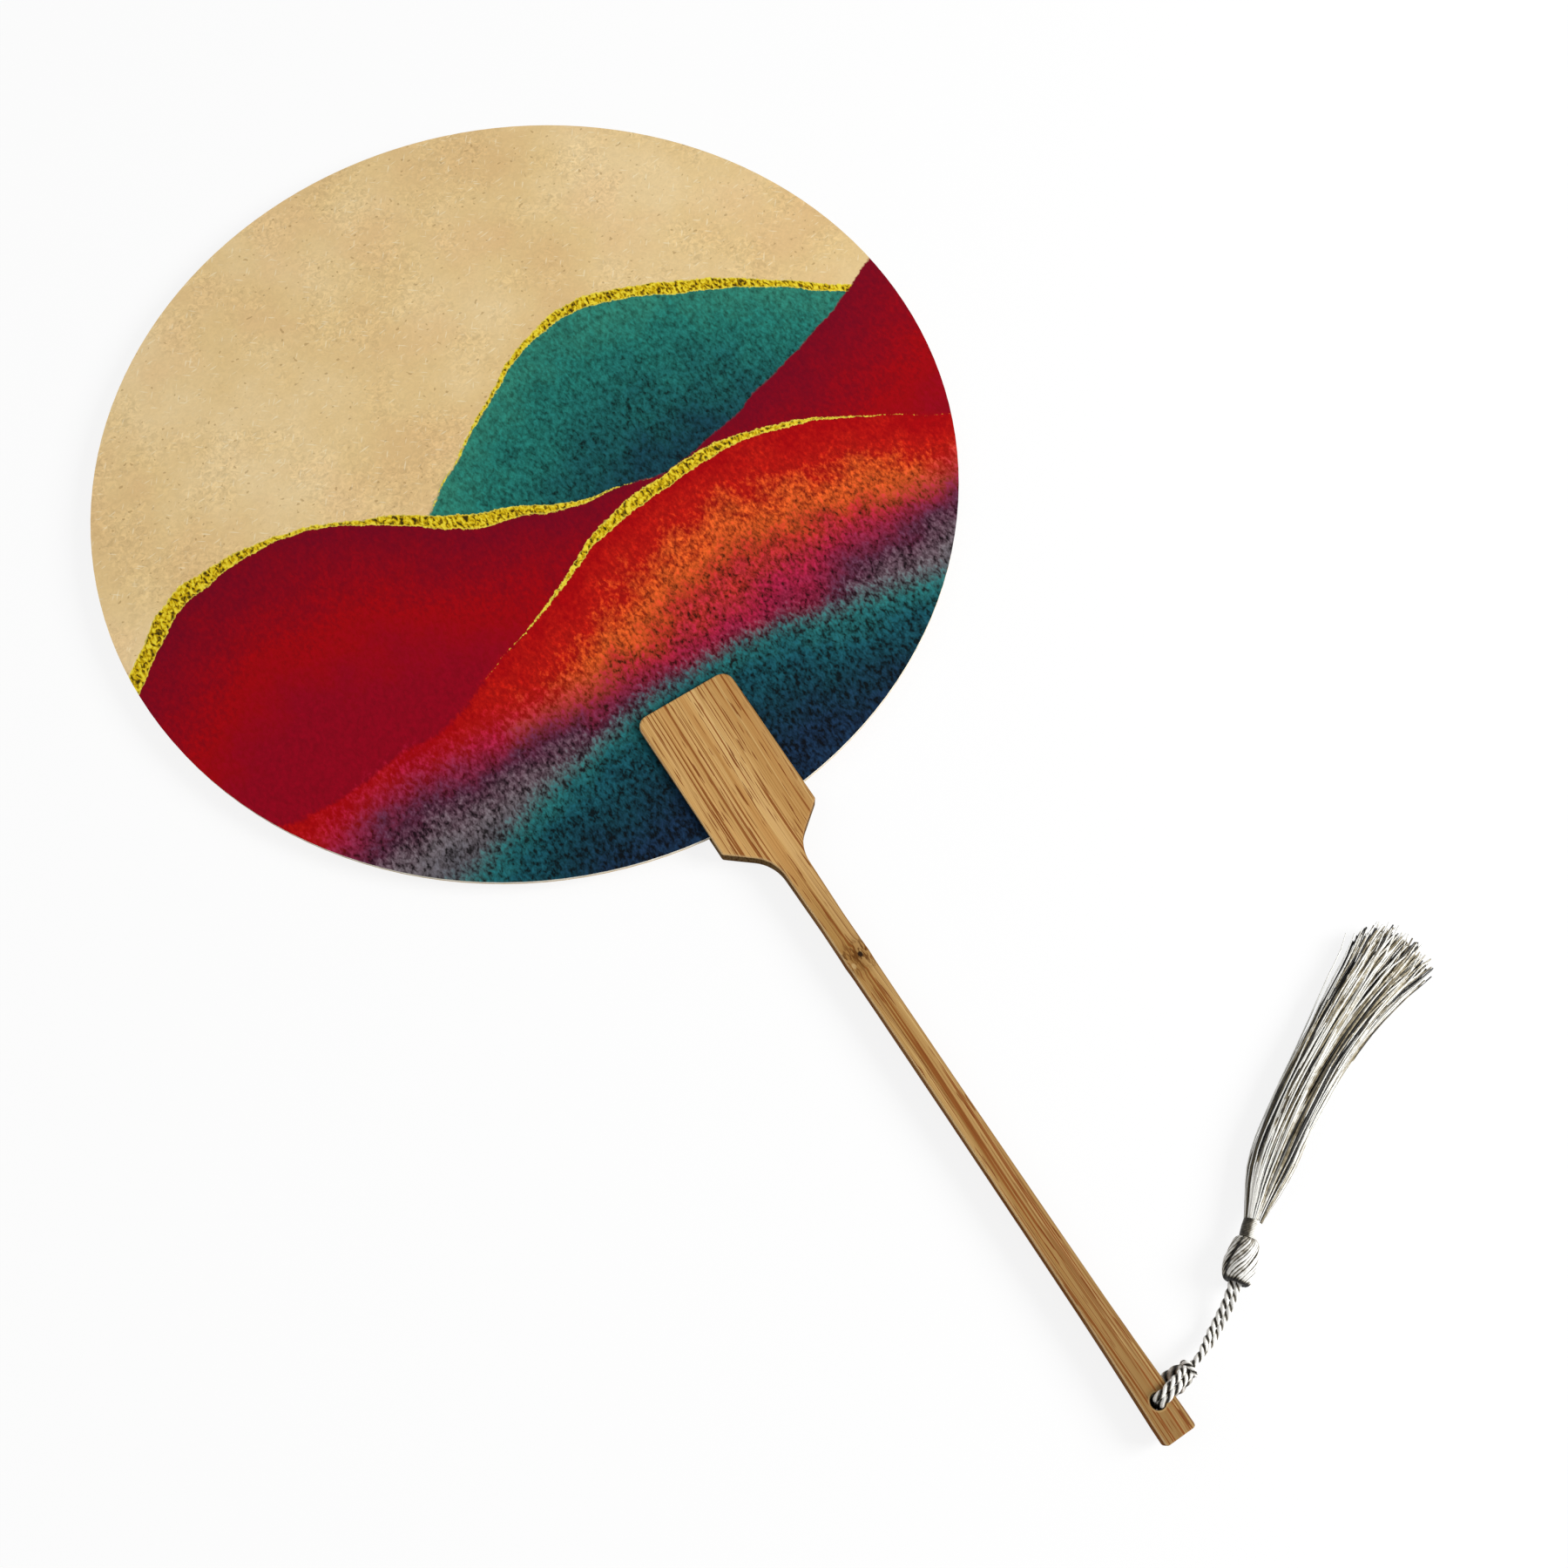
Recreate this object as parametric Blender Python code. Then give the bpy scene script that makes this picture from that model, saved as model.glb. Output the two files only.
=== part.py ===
"""Round paper hand fan: a printed board leaf held in the slotted head of a flat
bamboo handle, with a tassel on a short twisted cord tied through the handle's hole.

The fan lies on its back. +Y runs from the handle's butt to the leaf, +Z out of the
printed face, and +X to the right as the face is seen. The origin is on the surface
that the fan lies on, under the middle of the fan's length and width. Lengths are in
metres and angles in degrees.
"""
import math

import bmesh
import bpy
from mathutils import Matrix, Vector
from mathutils.geometry import delaunay_2d_cdt

# Leaf: a face sheet and a back sheet glued on a white board.
leaf_diameter = 0.220
face_sheet_thickness = 0.00025
back_sheet_thickness = 0.00025
board_thickness = 0.0008
glue_gap = 0.00015
leaf_sides = 144

# Handle: one flat bamboo strip with a wide head and a straight stick.
handle_length = 0.1976
handle_thickness = 0.0045
head_width = 0.0259
head_side_length = 0.0395
head_corner_radius = 0.003
leaf_seat_depth = 0.0346
leaf_clearance = 0.00025
neck_width = 0.0066
flare_radius = 0.010
flare_angle = 51.0
butt_width = 0.0076
butt_corner_radius = 0.0007
edge_rounding = 0.00035
# Half widths of the stick as shares of the butt's, at shares of the stick's length.
stick_width_shares = ((0.03, 0.995), (0.07, 0.95), (0.14, 0.88), (0.21, 0.84), (0.35, 0.81), (0.55, 0.785),
                      (0.75, 0.785), (0.81, 0.80), (0.83, 0.83), (0.85, 0.81), (0.90, 0.80))
arc_steps = 9
corner_steps = 6
cut_overrun = 0.004

# Hole for the tassel's cord.
hole_diameter = 0.0034
hole_inset = 0.0081
hole_sides = 32

# Cord: doubled through the hole as a hitch, then its two runs together as the stem.
cord_diameter = 0.0015
cord_clearance = 0.0002
strand_spread_share = 0.94
hitch_reach = 0.0082
hitch_turn_radius = 0.0017
hitch_end_radius = 0.0008
hitch_slant = 8.0
bight_diameter = 0.0026
joint_gap = 0.0003
stem_length = 0.0183
stem_spacing = 0.0017
# The doubled cord's two runs start one over the other and lie side by side from this share on.
stem_turn_share = 0.5
stem_heading_start = 12.0
stem_heading_end = 37.0
stem_sag = 0.0018
stem_points = 12

# Tassel: an egg-shaped knot, a wound collar and a flat-lying skirt of strands.
knot_length = 0.0104
knot_diameter = 0.0075
knot_heading = 36.0
collar_length = 0.0038
collar_diameter = 0.0044
collar_sides = 20
# Widths of the collar as shares, at shares of its length.
collar_shares = ((0.0, 0.92), (0.12, 1.0), (0.88, 1.0), (1.0, 0.92))
skirt_length = 0.0758
skirt_width = 0.0190
skirt_height = 0.0066
skirt_heading_start = 35.6
skirt_heading_end = 11.6
strand_count = 300
strand_fill_share = 0.94
strand_radius_share = 0.037
strand_station_shares = (0.13, 0.5, 1.0)
strand_ragged_share = 0.06
skirt_slice_thickness = 0.0006
slice_sides = 36
route_steps = 100
merge_share = 1e-9
# Widths and heights of the skirt as shares, at shares of its length.
skirt_section_shares = ((0.0, 0.22, 0.62), (0.05, 0.32, 0.74), (0.12, 0.455, 0.87), (0.20, 0.535, 0.97),
                        (0.30, 0.56, 1.0), (0.40, 0.585, 1.0), (0.50, 0.60, 0.99), (0.60, 0.65, 0.96),
                        (0.70, 0.72, 0.92), (0.80, 0.82, 0.86), (0.90, 0.95, 0.77), (1.0, 1.0, 0.64))
skirt_settle_share = 0.16
rest_gap = 0.00005

# Heights and places that follow from the sizes.
leaf_radius = leaf_diameter / 2
leaf_thickness = face_sheet_thickness + board_thickness + back_sheet_thickness + 2 * glue_gap
total_length = handle_length - leaf_seat_depth + leaf_diameter
butt_y = -total_length / 2
leaf_centre_y = butt_y + handle_length - leaf_seat_depth + leaf_radius
head_top_y = butt_y + handle_length
handle_bottom_z = cord_diameter + cord_clearance
middle_z = handle_bottom_z + handle_thickness / 2
hole_centre = Vector((0, butt_y + hole_inset, middle_z))
bight_radius = bight_diameter / 2
pivot_reach = hitch_reach + joint_gap + bight_radius
slant = math.radians(hitch_slant)
cord_pivot = hole_centre + pivot_reach * Vector((math.cos(slant), math.sin(slant), 0))


def clear_scene():
    for item in list(bpy.data.objects):
        bpy.data.objects.remove(item, do_unlink=True)


def material(name, colour, roughness, metallic=0.0):
    made = bpy.data.materials.new(name)
    made.use_nodes = True
    shader = made.node_tree.nodes["Principled BSDF"]
    shader.inputs["Base Color"].default_value = (*colour, 1.0)
    shader.inputs["Roughness"].default_value = roughness
    shader.inputs["Metallic"].default_value = metallic
    return made


def add_object(name, data, surface=None):
    made = bpy.data.objects.new(name, data)
    bpy.context.scene.collection.objects.link(made)
    if surface is not None:
        data.materials.append(surface)
    return made


def mesh_object(name, work, surface=None, smooth_angle=35.0):
    bmesh.ops.recalc_face_normals(work, faces=work.faces)
    data = bpy.data.meshes.new(name)
    work.to_mesh(data)
    work.free()
    if smooth_angle:
        data.shade_smooth()
        data.set_sharp_from_angle(angle=math.radians(smooth_angle))
    return add_object(name, data, surface)


def prism(name, outline, low, high, surface=None):
    """A flat plate with the outline given as (x, y) points, from low to high."""
    work = bmesh.new()
    base = work.faces.new([work.verts.new((x, y, low)) for x, y in outline])
    grown = bmesh.ops.extrude_face_region(work, geom=[base])
    lifted = [item for item in grown["geom"] if isinstance(item, bmesh.types.BMVert)]
    bmesh.ops.translate(work, verts=lifted, vec=(0, 0, high - low))
    return mesh_object(name, work, surface)


def ring_loft(name, rings, surface=None, closed=False, smooth_angle=50.0):
    """Skin rings of points in order. Open lofts get a flat face at each end."""
    work = bmesh.new()
    loops = [[work.verts.new(point) for point in ring] for ring in rings]
    pairs = list(zip(loops, loops[1:]))
    if closed:
        pairs.append((loops[-1], loops[0]))
    for first, second in pairs:
        count = len(first)
        for index in range(count):
            after = (index + 1) % count
            work.faces.new((first[index], first[after], second[after], second[index]))
    if not closed:
        for loop in (loops[0], loops[-1]):
            middle = work.verts.new(sum((vert.co for vert in loop), Vector()) / len(loop))
            for first, second in zip(loop, loop[1:] + loop[:1]):
                work.faces.new((first, second, middle))
    return mesh_object(name, work, surface, smooth_angle)


def cutter(name, work):
    made = mesh_object(name, work, smooth_angle=None)
    made.hide_render = True
    made.display_type = "WIRE"
    return made


def subtract(target, tool):
    cut = target.modifiers.new("cut_" + tool.name, "BOOLEAN")
    cut.operation = "DIFFERENCE"
    cut.solver = "EXACT"
    cut.object = tool


def arc_points(centre, radius, start, end, steps):
    angles = [math.radians(start + (end - start) * step / steps) for step in range(steps + 1)]
    return [(centre[0] + radius * math.cos(angle), centre[1] + radius * math.sin(angle)) for angle in angles]


def blend(stations, place):
    """Values between the rows of a table whose first column is the place."""
    for low, high in zip(stations, stations[1:]):
        if place <= high[0]:
            share = (place - low[0]) / (high[0] - low[0])
            return [a + share * (b - a) for a, b in zip(low[1:], high[1:])]
    return list(stations[-1][1:])


def handle_outline():
    """The handle seen from its face, anticlockwise from the butt's right corner."""
    angle = math.radians(flare_angle)
    half_head = head_width / 2
    half_neck = neck_width / 2
    half_butt = butt_width / 2
    shoulder_y = head_top_y - head_side_length
    arc_end_x = half_neck + flare_radius * (1 - math.cos(angle))
    arc_end_y = shoulder_y - (half_head - arc_end_x) / math.tan(angle)
    arc_start_y = arc_end_y - flare_radius * math.sin(angle)
    stick_length = arc_start_y - butt_y
    side = arc_points((half_butt - butt_corner_radius, butt_y + butt_corner_radius), butt_corner_radius,
                      -90, 0, corner_steps // 2)
    for place, width in stick_width_shares:
        side.append((half_butt * width, butt_y + stick_length * place))
    side += arc_points((half_neck + flare_radius, arc_start_y), flare_radius, 180, 180 - flare_angle,
                       arc_steps)
    side.append((half_head, shoulder_y))
    side += arc_points((half_head - head_corner_radius, head_top_y - head_corner_radius), head_corner_radius,
                       0, 90, corner_steps)
    return side + [(-x, y) for x, y in reversed(side)]


def make_handle():
    handle = prism("handle", handle_outline(), handle_bottom_z, handle_bottom_z + handle_thickness,
                   material("bamboo", (0.52, 0.33, 0.12), 0.45))
    rounding = handle.modifiers.new("edge_rounding", "BEVEL")
    rounding.width = edge_rounding
    rounding.segments = 2
    rounding.limit_method = "ANGLE"
    rounding.angle_limit = math.radians(40)

    slot_height = leaf_thickness + 2 * leaf_clearance
    slot_bottom_y = head_top_y - leaf_seat_depth - leaf_clearance
    slot_top_y = head_top_y + cut_overrun
    work = bmesh.new()
    slot_size = Vector((head_width + 2 * cut_overrun, slot_top_y - slot_bottom_y, slot_height))
    slot_place = Matrix.Translation((0, (slot_top_y + slot_bottom_y) / 2, middle_z))
    bmesh.ops.create_cube(work, size=1, matrix=slot_place @ Matrix.Diagonal((*slot_size, 1)))
    subtract(handle, cutter("slot_cutter", work))

    work = bmesh.new()
    bmesh.ops.create_cone(work, cap_ends=True, segments=hole_sides, radius1=hole_diameter / 2,
                          radius2=hole_diameter / 2, depth=handle_thickness + 2 * cut_overrun,
                          matrix=Matrix.Translation(hole_centre))
    subtract(handle, cutter("hole_cutter", work))
    return handle


def make_leaf():
    circle = arc_points((0, leaf_centre_y), leaf_radius, -90, 270, leaf_sides)[:-1]
    low = middle_z - leaf_thickness / 2
    layers = (("leaf_back_sheet", back_sheet_thickness, material("plain_kraft", (0.62, 0.47, 0.28), 0.85)),
              ("leaf_board", board_thickness, material("white_board", (0.82, 0.80, 0.74), 0.8)),
              ("leaf_face_sheet", face_sheet_thickness, material("printed_kraft", (0.40, 0.06, 0.04), 0.8)))
    for name, thickness, surface in layers:
        prism(name, circle, low, low + thickness, surface)
        low += thickness + glue_gap


def twin_strand_section():
    """Outline of two cords side by side, as (across the band, along its width)."""
    radius = cord_diameter / 2
    spread = radius * strand_spread_share
    open_angle = math.degrees(math.acos(strand_spread_share))
    right = arc_points((0, spread), radius, -90 + open_angle, 270 - open_angle, 9)
    left = arc_points((0, -spread), radius, 90 + open_angle, 450 - open_angle, 9)
    return right[:-1] + left[:-1]


def hitch_path():
    """Centre line of the loop round the strip beside the hole, in (reach, height) from the hole's middle."""
    radius = cord_diameter / 2
    top = handle_thickness / 2 + cord_clearance + radius
    end_x = hitch_reach - radius - hitch_end_radius
    leave_x = butt_width / 2 + cord_clearance + radius / 2
    half = arc_points((hitch_turn_radius, top - hitch_turn_radius), hitch_turn_radius, 180, 90, 6)
    rows = 5
    for row in range(rows + 1):
        share = row / rows
        drop = (top - hitch_end_radius) * (share * share * (3 - 2 * share))
        half.append((leave_x + (end_x - leave_x) * share, top - drop))
    half += arc_points((end_x, 0), hitch_end_radius, 90, 0, 4)[1:]
    return half + [(x, -z) for x, z in reversed(half[:-1])]


def make_hitch(silk):
    path = hitch_path()
    section = twin_strand_section()
    count = len(path)
    rings = []
    for index, (x, z) in enumerate(path):
        before = path[index - 1]
        after = path[(index + 1) % count]
        along = Vector((after[0] - before[0], after[1] - before[1])).normalized()
        normal = Vector((-along.y, along.x))
        rings.append([(x + normal.x * across, wide, z + normal.y * across) for across, wide in section])
    hitch = ring_loft("cord_hitch", rings, silk, closed=True)
    hitch.location = hole_centre
    hitch.rotation_euler = (0, 0, slant)


def heading_route(start, length, heading_start, heading_end, steps):
    """Points and headings along a flat curve whose heading turns evenly."""
    points = [Vector(start)]
    headings = [math.radians(heading_start)]
    for step in range(steps):
        middle = heading_start + (heading_end - heading_start) * (step + 0.5) / steps
        turn = math.radians(middle)
        points.append(points[-1] + length / steps * Vector((math.cos(turn), math.sin(turn), 0)))
        headings.append(math.radians(heading_start + (heading_end - heading_start) * (step + 1) / steps))
    return points, headings


def direction(heading):
    return Vector((math.cos(math.radians(heading)), math.sin(math.radians(heading)), 0))


def empty_at(name, place):
    made = add_object(name, None)
    made.location = place
    return made


def make_cord(silk):
    bight_work = bmesh.new()
    bmesh.ops.create_uvsphere(bight_work, u_segments=20, v_segments=12, radius=bight_radius)
    bight = mesh_object("cord_bight", bight_work, silk)
    bight.location = cord_pivot
    cord_empty = empty_at("cord_joint", cord_pivot)

    start = (bight_radius + joint_gap) * direction(stem_heading_start)
    points, headings = heading_route(start, stem_length, stem_heading_start, stem_heading_end, stem_points)
    for name, spread in (("tassel_cord", stem_spacing / 2), ("tassel_cord_return", -stem_spacing / 2)):
        curve = bpy.data.curves.new(name, "CURVE")
        curve.dimensions = "3D"
        curve.bevel_depth = cord_diameter / 2
        curve.bevel_resolution = 2
        curve.use_fill_caps = True
        spline = curve.splines.new("POLY")
        spline.points.add(stem_points)
        for index, (point, heading) in enumerate(zip(points, headings)):
            dip = stem_sag * math.sin(math.pi * index / stem_points) ** 2
            turned = min(index / stem_points / stem_turn_share, 1.0)
            stacked = math.radians(90) * (1 - turned * turned * (3 - 2 * turned))
            aside = spread * math.cos(stacked)
            rise = spread * math.sin(stacked) - dip
            place = point + Vector((-aside * math.sin(heading), aside * math.cos(heading), rise))
            spline.points[index].co = (*place, 1)
        run = add_object(name, curve, silk)
        run.parent = cord_empty
    return points[-1], cord_empty


def make_knot(stem_end, cord_empty, silk):
    half = knot_length / 2
    centre = stem_end + (joint_gap + half) * direction(knot_heading)
    work = bmesh.new()
    bmesh.ops.create_uvsphere(work, u_segments=24, v_segments=16, radius=1,
                              matrix=Matrix.Rotation(math.radians(knot_heading), 4, "Z")
                              @ Matrix.Diagonal((half, knot_diameter / 2, knot_diameter / 2, 1))
                              @ Matrix.Rotation(math.radians(90), 4, "Y"))
    knot = mesh_object("tassel_knot", work, silk)
    knot.parent = cord_empty
    knot.location = centre
    return cord_pivot + centre


def make_collar(knot_centre, silk):
    """The wound neck. It swings, with the skirt, where the knot's rounded end has its centre."""
    half = knot_length / 2
    end_curve = (knot_diameter / 2) ** 2 / half
    swing = knot_centre + (half - end_curve) * direction(knot_heading)
    tassel_empty = empty_at("tassel_joint", swing)
    radius = collar_diameter / 2
    collar_start = end_curve + joint_gap
    turn = Matrix.Rotation(math.radians(knot_heading), 4, "Z") @ Matrix.Rotation(math.radians(90), 4, "Y")
    rings = []
    for place, width in collar_shares:
        ring = arc_points((0, 0), radius * width, 0, 360, collar_sides)[:-1]
        rings.append([turn @ Vector((x, y, collar_start + collar_length * place)) for x, y in ring])
    collar = ring_loft("tassel_collar", rings, silk)
    collar.parent = tassel_empty
    skirt_start = (collar_start + collar_length + joint_gap) * direction(knot_heading)
    return skirt_start, tassel_empty


def skirt_stations(start, floor_z):
    """Gives the middle, half width and half height of the skirt's section at a share of its length."""
    points, headings = heading_route(start, skirt_length, skirt_heading_start, skirt_heading_end, route_steps)

    def station(place):
        index = round(place * route_steps)
        width, height = blend(skirt_section_shares, place)
        half_height = skirt_height * height / 2
        settled = min(place / skirt_settle_share, 1.0)
        lift = (floor_z + rest_gap + half_height) * settled * settled * (3 - 2 * settled)
        sideways = Vector((-math.sin(headings[index]), math.cos(headings[index]), 0))
        half_width = skirt_width * width / 2
        return points[index] + Vector((0, 0, lift)), sideways * half_width, Vector((0, 0, half_height))

    return station


def strand_corners(seed, station):
    """The three corners of a strand in a section, as shares of its half width and half height."""
    radius = station[2].z * strand_radius_share
    corners = []
    for corner in range(3):
        angle = math.radians(90 + 120 * corner)
        corners.append((seed[0] + radius * math.cos(angle) / station[1].length,
                        seed[1] + radius * math.sin(angle) / station[2].z))
    return corners


def place_in(station, across, up):
    return station[0] + station[1] * across + station[2] * up


def make_skirt(start, tassel_empty, silk):
    """Strands on a thin slice at their roots. All follow the bundle's section, so that none cross."""
    station = skirt_stations(start, -tassel_empty.location.z)
    golden_turn = math.pi * (3 - math.sqrt(5))
    seeds = []
    for index in range(strand_count):
        radius = strand_fill_share * math.sqrt((index + 0.5) / strand_count)
        seeds.append((radius * math.cos(index * golden_turn), radius * math.sin(index * golden_turn)))

    back = station(0)
    front = (back[0] + skirt_slice_thickness * direction(skirt_heading_start), back[1], back[2])
    rim = arc_points((0, 0), 1, 0, 360, slice_sides)[:-1]
    flat = [Vector(point) for point in rim]
    roots = []
    for seed in seeds:
        roots.append([len(flat), len(flat) + 1, len(flat) + 2])
        flat += [Vector(point) for point in strand_corners(seed, front)]
    edges = [(root[corner], root[corner - 1]) for root in roots for corner in range(3)]
    spots, _, faces, _, _, _ = delaunay_2d_cdt(flat, edges, [list(range(slice_sides))], 1, merge_share)

    work = bmesh.new()
    front_verts = [work.verts.new(place_in(front, spot.x, spot.y)) for spot in spots]
    back_verts = [work.verts.new(place_in(back, across, up)) for across, up in rim]
    root_faces = {frozenset(root) for root in roots}
    for face in faces:
        if frozenset(face) not in root_faces:
            work.faces.new([front_verts[index] for index in face])
    work.faces.new(back_verts)
    front_rim = front_verts[:slice_sides]
    for index in range(slice_sides):
        work.faces.new((back_verts[index], back_verts[index - 1], front_rim[index - 1], front_rim[index]))

    stations = [station(place) for place in strand_station_shares]
    for number, (seed, root) in enumerate(zip(seeds, roots)):
        ring = [front_verts[index] for index in root]
        trim = strand_ragged_share * (1 + math.sin(number * golden_turn)) / 2
        for level in stations:
            made = [place_in(level, across, up) for across, up in strand_corners(seed, level)]
            if level is stations[-1]:
                made = [point.lerp(vert.co, trim) for point, vert in zip(made, ring)]
            after = [work.verts.new(point) for point in made]
            for corner in range(3):
                work.faces.new((ring[corner], ring[corner - 1], after[corner - 1], after[corner]))
            ring = after
        work.faces.new(ring)
    skirt = mesh_object("tassel_skirt", work, silk, smooth_angle=None)
    skirt.parent = tassel_empty


clear_scene()
make_handle()
make_leaf()
cord_silk = material("silk_cord", (0.80, 0.79, 0.72), 0.4)
make_hitch(cord_silk)
stem_tip, cord_parent = make_cord(cord_silk)
knot_place = make_knot(stem_tip, cord_parent, cord_silk)
root_place, tassel_parent = make_collar(knot_place, cord_silk)
make_skirt(root_place, tassel_parent, material("silk_strand", (0.82, 0.80, 0.74), 0.4))
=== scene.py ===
import random
from functools import partial
from math import cos, degrees, hypot, pi, radians, sin, sqrt

import bpy
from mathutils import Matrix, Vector
from mathutils.kdtree import KDTree


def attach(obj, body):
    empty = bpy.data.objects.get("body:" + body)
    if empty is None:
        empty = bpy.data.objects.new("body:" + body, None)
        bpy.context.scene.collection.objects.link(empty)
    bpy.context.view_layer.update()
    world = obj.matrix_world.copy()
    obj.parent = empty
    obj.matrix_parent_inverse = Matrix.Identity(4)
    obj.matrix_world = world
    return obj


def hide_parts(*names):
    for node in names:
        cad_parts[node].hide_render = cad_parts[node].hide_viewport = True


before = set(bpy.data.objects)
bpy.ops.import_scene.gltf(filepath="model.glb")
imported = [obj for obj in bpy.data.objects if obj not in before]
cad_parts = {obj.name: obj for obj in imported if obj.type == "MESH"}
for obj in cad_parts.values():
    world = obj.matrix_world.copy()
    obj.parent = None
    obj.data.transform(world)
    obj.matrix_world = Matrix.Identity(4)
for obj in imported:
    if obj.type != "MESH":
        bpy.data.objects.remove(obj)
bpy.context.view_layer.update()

mm = 0.001


# small tools used for every piece
def hexColour(text):
    # sRGB hex to linear
    channels = [int(text[at:at + 2], 16) / 255 for at in (1, 3, 5)]
    linear = [c / 12.92 if c <= 0.04045 else ((c + 0.055) / 1.055) ** 2.4 for c in channels]
    return (*linear, 1.0)


def setInputs(node, inputs):
    # by name or by place. A socket or node is linked, hex text is a colour.
    # By place: MapRange has value, from low, from high, to low, to high. TexNoise has vector, w, scale,
    # detail, roughness and, at 8, distortion. Mapping has vector, place, turn, scale. A colour Mix has its
    # share at 0, what is beneath at 6 and what lies over it at 7
    for slot, value in inputs.items() if isinstance(inputs, dict) else enumerate(inputs):
        if isinstance(value, bpy.types.Node):
            value = value.outputs[0]
        if isinstance(value, bpy.types.NodeSocket):
            node.id_data.links.new(value, node.inputs[slot])
        else:
            node.inputs[slot].default_value = hexColour(value) if isinstance(value, str) else value


def addNode(tree, kind, inputs=(), stops=(), **settings):
    # stops are a ramp's (place, hex or grey) or a curve's (across, up)
    made = tree.nodes.new("ShaderNode" + kind)
    for name, value in settings.items():
        setattr(made, name, value)
    setInputs(made, inputs)
    if stops and hasattr(made, "color_ramp"):
        band = made.color_ramp.elements
        while len(band) < len(stops):
            band.new(1.0)
        for element, (place, tone) in zip(band, stops):
            element.position = place
            element.color = hexColour(tone) if isinstance(tone, str) else (tone, tone, tone, 1.0)
    elif stops:
        line = made.mapping.curves[0].points
        line[0].location, line[1].location = stops[0], stops[-1]
        for place in stops[1:-1]:
            line.new(*place)
        made.mapping.update()
    return made


smoothly = {"interpolation_type": "SMOOTHSTEP"}
inColour = {"data_type": "RGBA"}
plus, minus, times, timesPlus, highest = (
    {"operation": name} for name in ("ADD", "SUBTRACT", "MULTIPLY", "MULTIPLY_ADD", "MAXIMUM"))


def newFinish(name, colour, roughness, specular=0.5):
    # a material, its shader, and what adds a node to it
    finish = bpy.data.materials.new(name)
    finish.use_nodes = True
    shader = finish.node_tree.nodes["Principled BSDF"]
    shader.inputs["Base Color"].default_value = hexColour(colour)
    shader.inputs["Roughness"].default_value = roughness
    shader.inputs["Specular IOR Level"].default_value = specular
    return finish, shader, partial(addNode, finish.node_tree)


def dressNode(name, finish):
    # a CAD node that keeps its shape and gets a finish
    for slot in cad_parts[name].material_slots:
        slot.material = finish


def setPiece(piece, body, finish, replaced=()):
    piece.data.materials.clear()
    piece.data.materials.append(finish)
    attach(piece, body)
    if replaced:
        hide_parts(*replaced)


def addObject(name, data):
    made = bpy.data.objects.new(name, data)
    bpy.context.scene.collection.objects.link(made)
    return made


def threadPiece(name, lines, thickness, resolution=1, swell=None):
    # threads as poly curves with a round section, turned into one mesh
    curve = bpy.data.curves.new(name, "CURVE")
    curve.dimensions = "3D"
    curve.bevel_depth = thickness / 2
    curve.bevel_resolution = resolution
    curve.use_fill_caps = True
    for number, line in enumerate(lines):
        spline = curve.splines.new("POLY")
        spline.points.add(len(line) - 1)
        for index, (point, place) in enumerate(zip(spline.points, line)):
            point.co = (*place, 1)
            point.radius = swell(number, index / (len(line) - 1)) if swell else 1.0
        spline.use_smooth = True
    piece = addObject(name, curve)
    for item in bpy.context.selected_objects:
        item.select_set(False)
    piece.select_set(True)
    bpy.context.view_layer.objects.active = piece
    bpy.ops.object.convert(target="MESH")
    return bpy.context.view_layer.objects.active


def heading(angle):
    return Vector((cos(radians(angle)), sin(radians(angle)), 0))


def bendingRoute(start, length, first, last, steps):
    # points and headings of a flat curve whose heading turns evenly
    points = [Vector(start)]
    turns = [radians(first)]
    for step in range(steps):
        points.append(points[-1] + length / steps * heading(first + (last - first) * (step + 0.5) / steps))
        turns.append(radians(first + (last - first) * (step + 1) / steps))
    return points, turns


def smoothStep(share):
    share = min(max(share, 0.0), 1.0)
    return share * share * (3 - 2 * share)


def between(rows, place):
    # values of a table between its rows, the first column is the place
    for low, high in zip(rows, rows[1:]):
        if place <= high[0]:
            share = (place - low[0]) / (high[0] - low[0])
            return [a + share * (b - a) for a, b in zip(low[1:], high[1:])]
    return list(rows[-1][1:])


def resample(line, count):
    # the same line with evenly spaced points
    lengths = [0.0]
    for a, b in zip(line, line[1:]):
        lengths.append(lengths[-1] + (b - a).length)
    out = []
    at = 0
    for step in range(count):
        goal = lengths[-1] * step / (count - 1)
        while at < len(line) - 2 and lengths[at + 1] < goal:
            at += 1
        span = lengths[at + 1] - lengths[at]
        out.append(line[at].lerp(line[at + 1], (goal - lengths[at]) / span if span else 0.0))
    return out


def twistedPlies(line, pitch, offset, stepsPerTurn, phase=0.0, closed=False):
    # the two plies of an S-twisted cord wind round its line at an even pitch
    total = sum((b - a).length for a, b in zip(line, line[1:]))
    turns = total / pitch
    if closed:
        turns = round(turns)
    points = resample(line, max(8, int(turns * stepsPerTurn)) + 1)
    side = None
    out = [[], []]
    for index, point in enumerate(points):
        ahead = points[min(index + 1, len(points) - 1)] - points[max(index - 1, 0)]
        ahead.normalize()
        if side is None:
            side = ahead.orthogonal().normalized()
        side = (side - ahead * side.dot(ahead)).normalized()
        up = ahead.cross(side)
        for ply, thread in enumerate(out):
            angle = phase - 2 * pi * (turns * index / (len(points) - 1) + ply / 2)
            thread.append(point + offset * (side * cos(angle) + up * sin(angle)))
    return out


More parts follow.
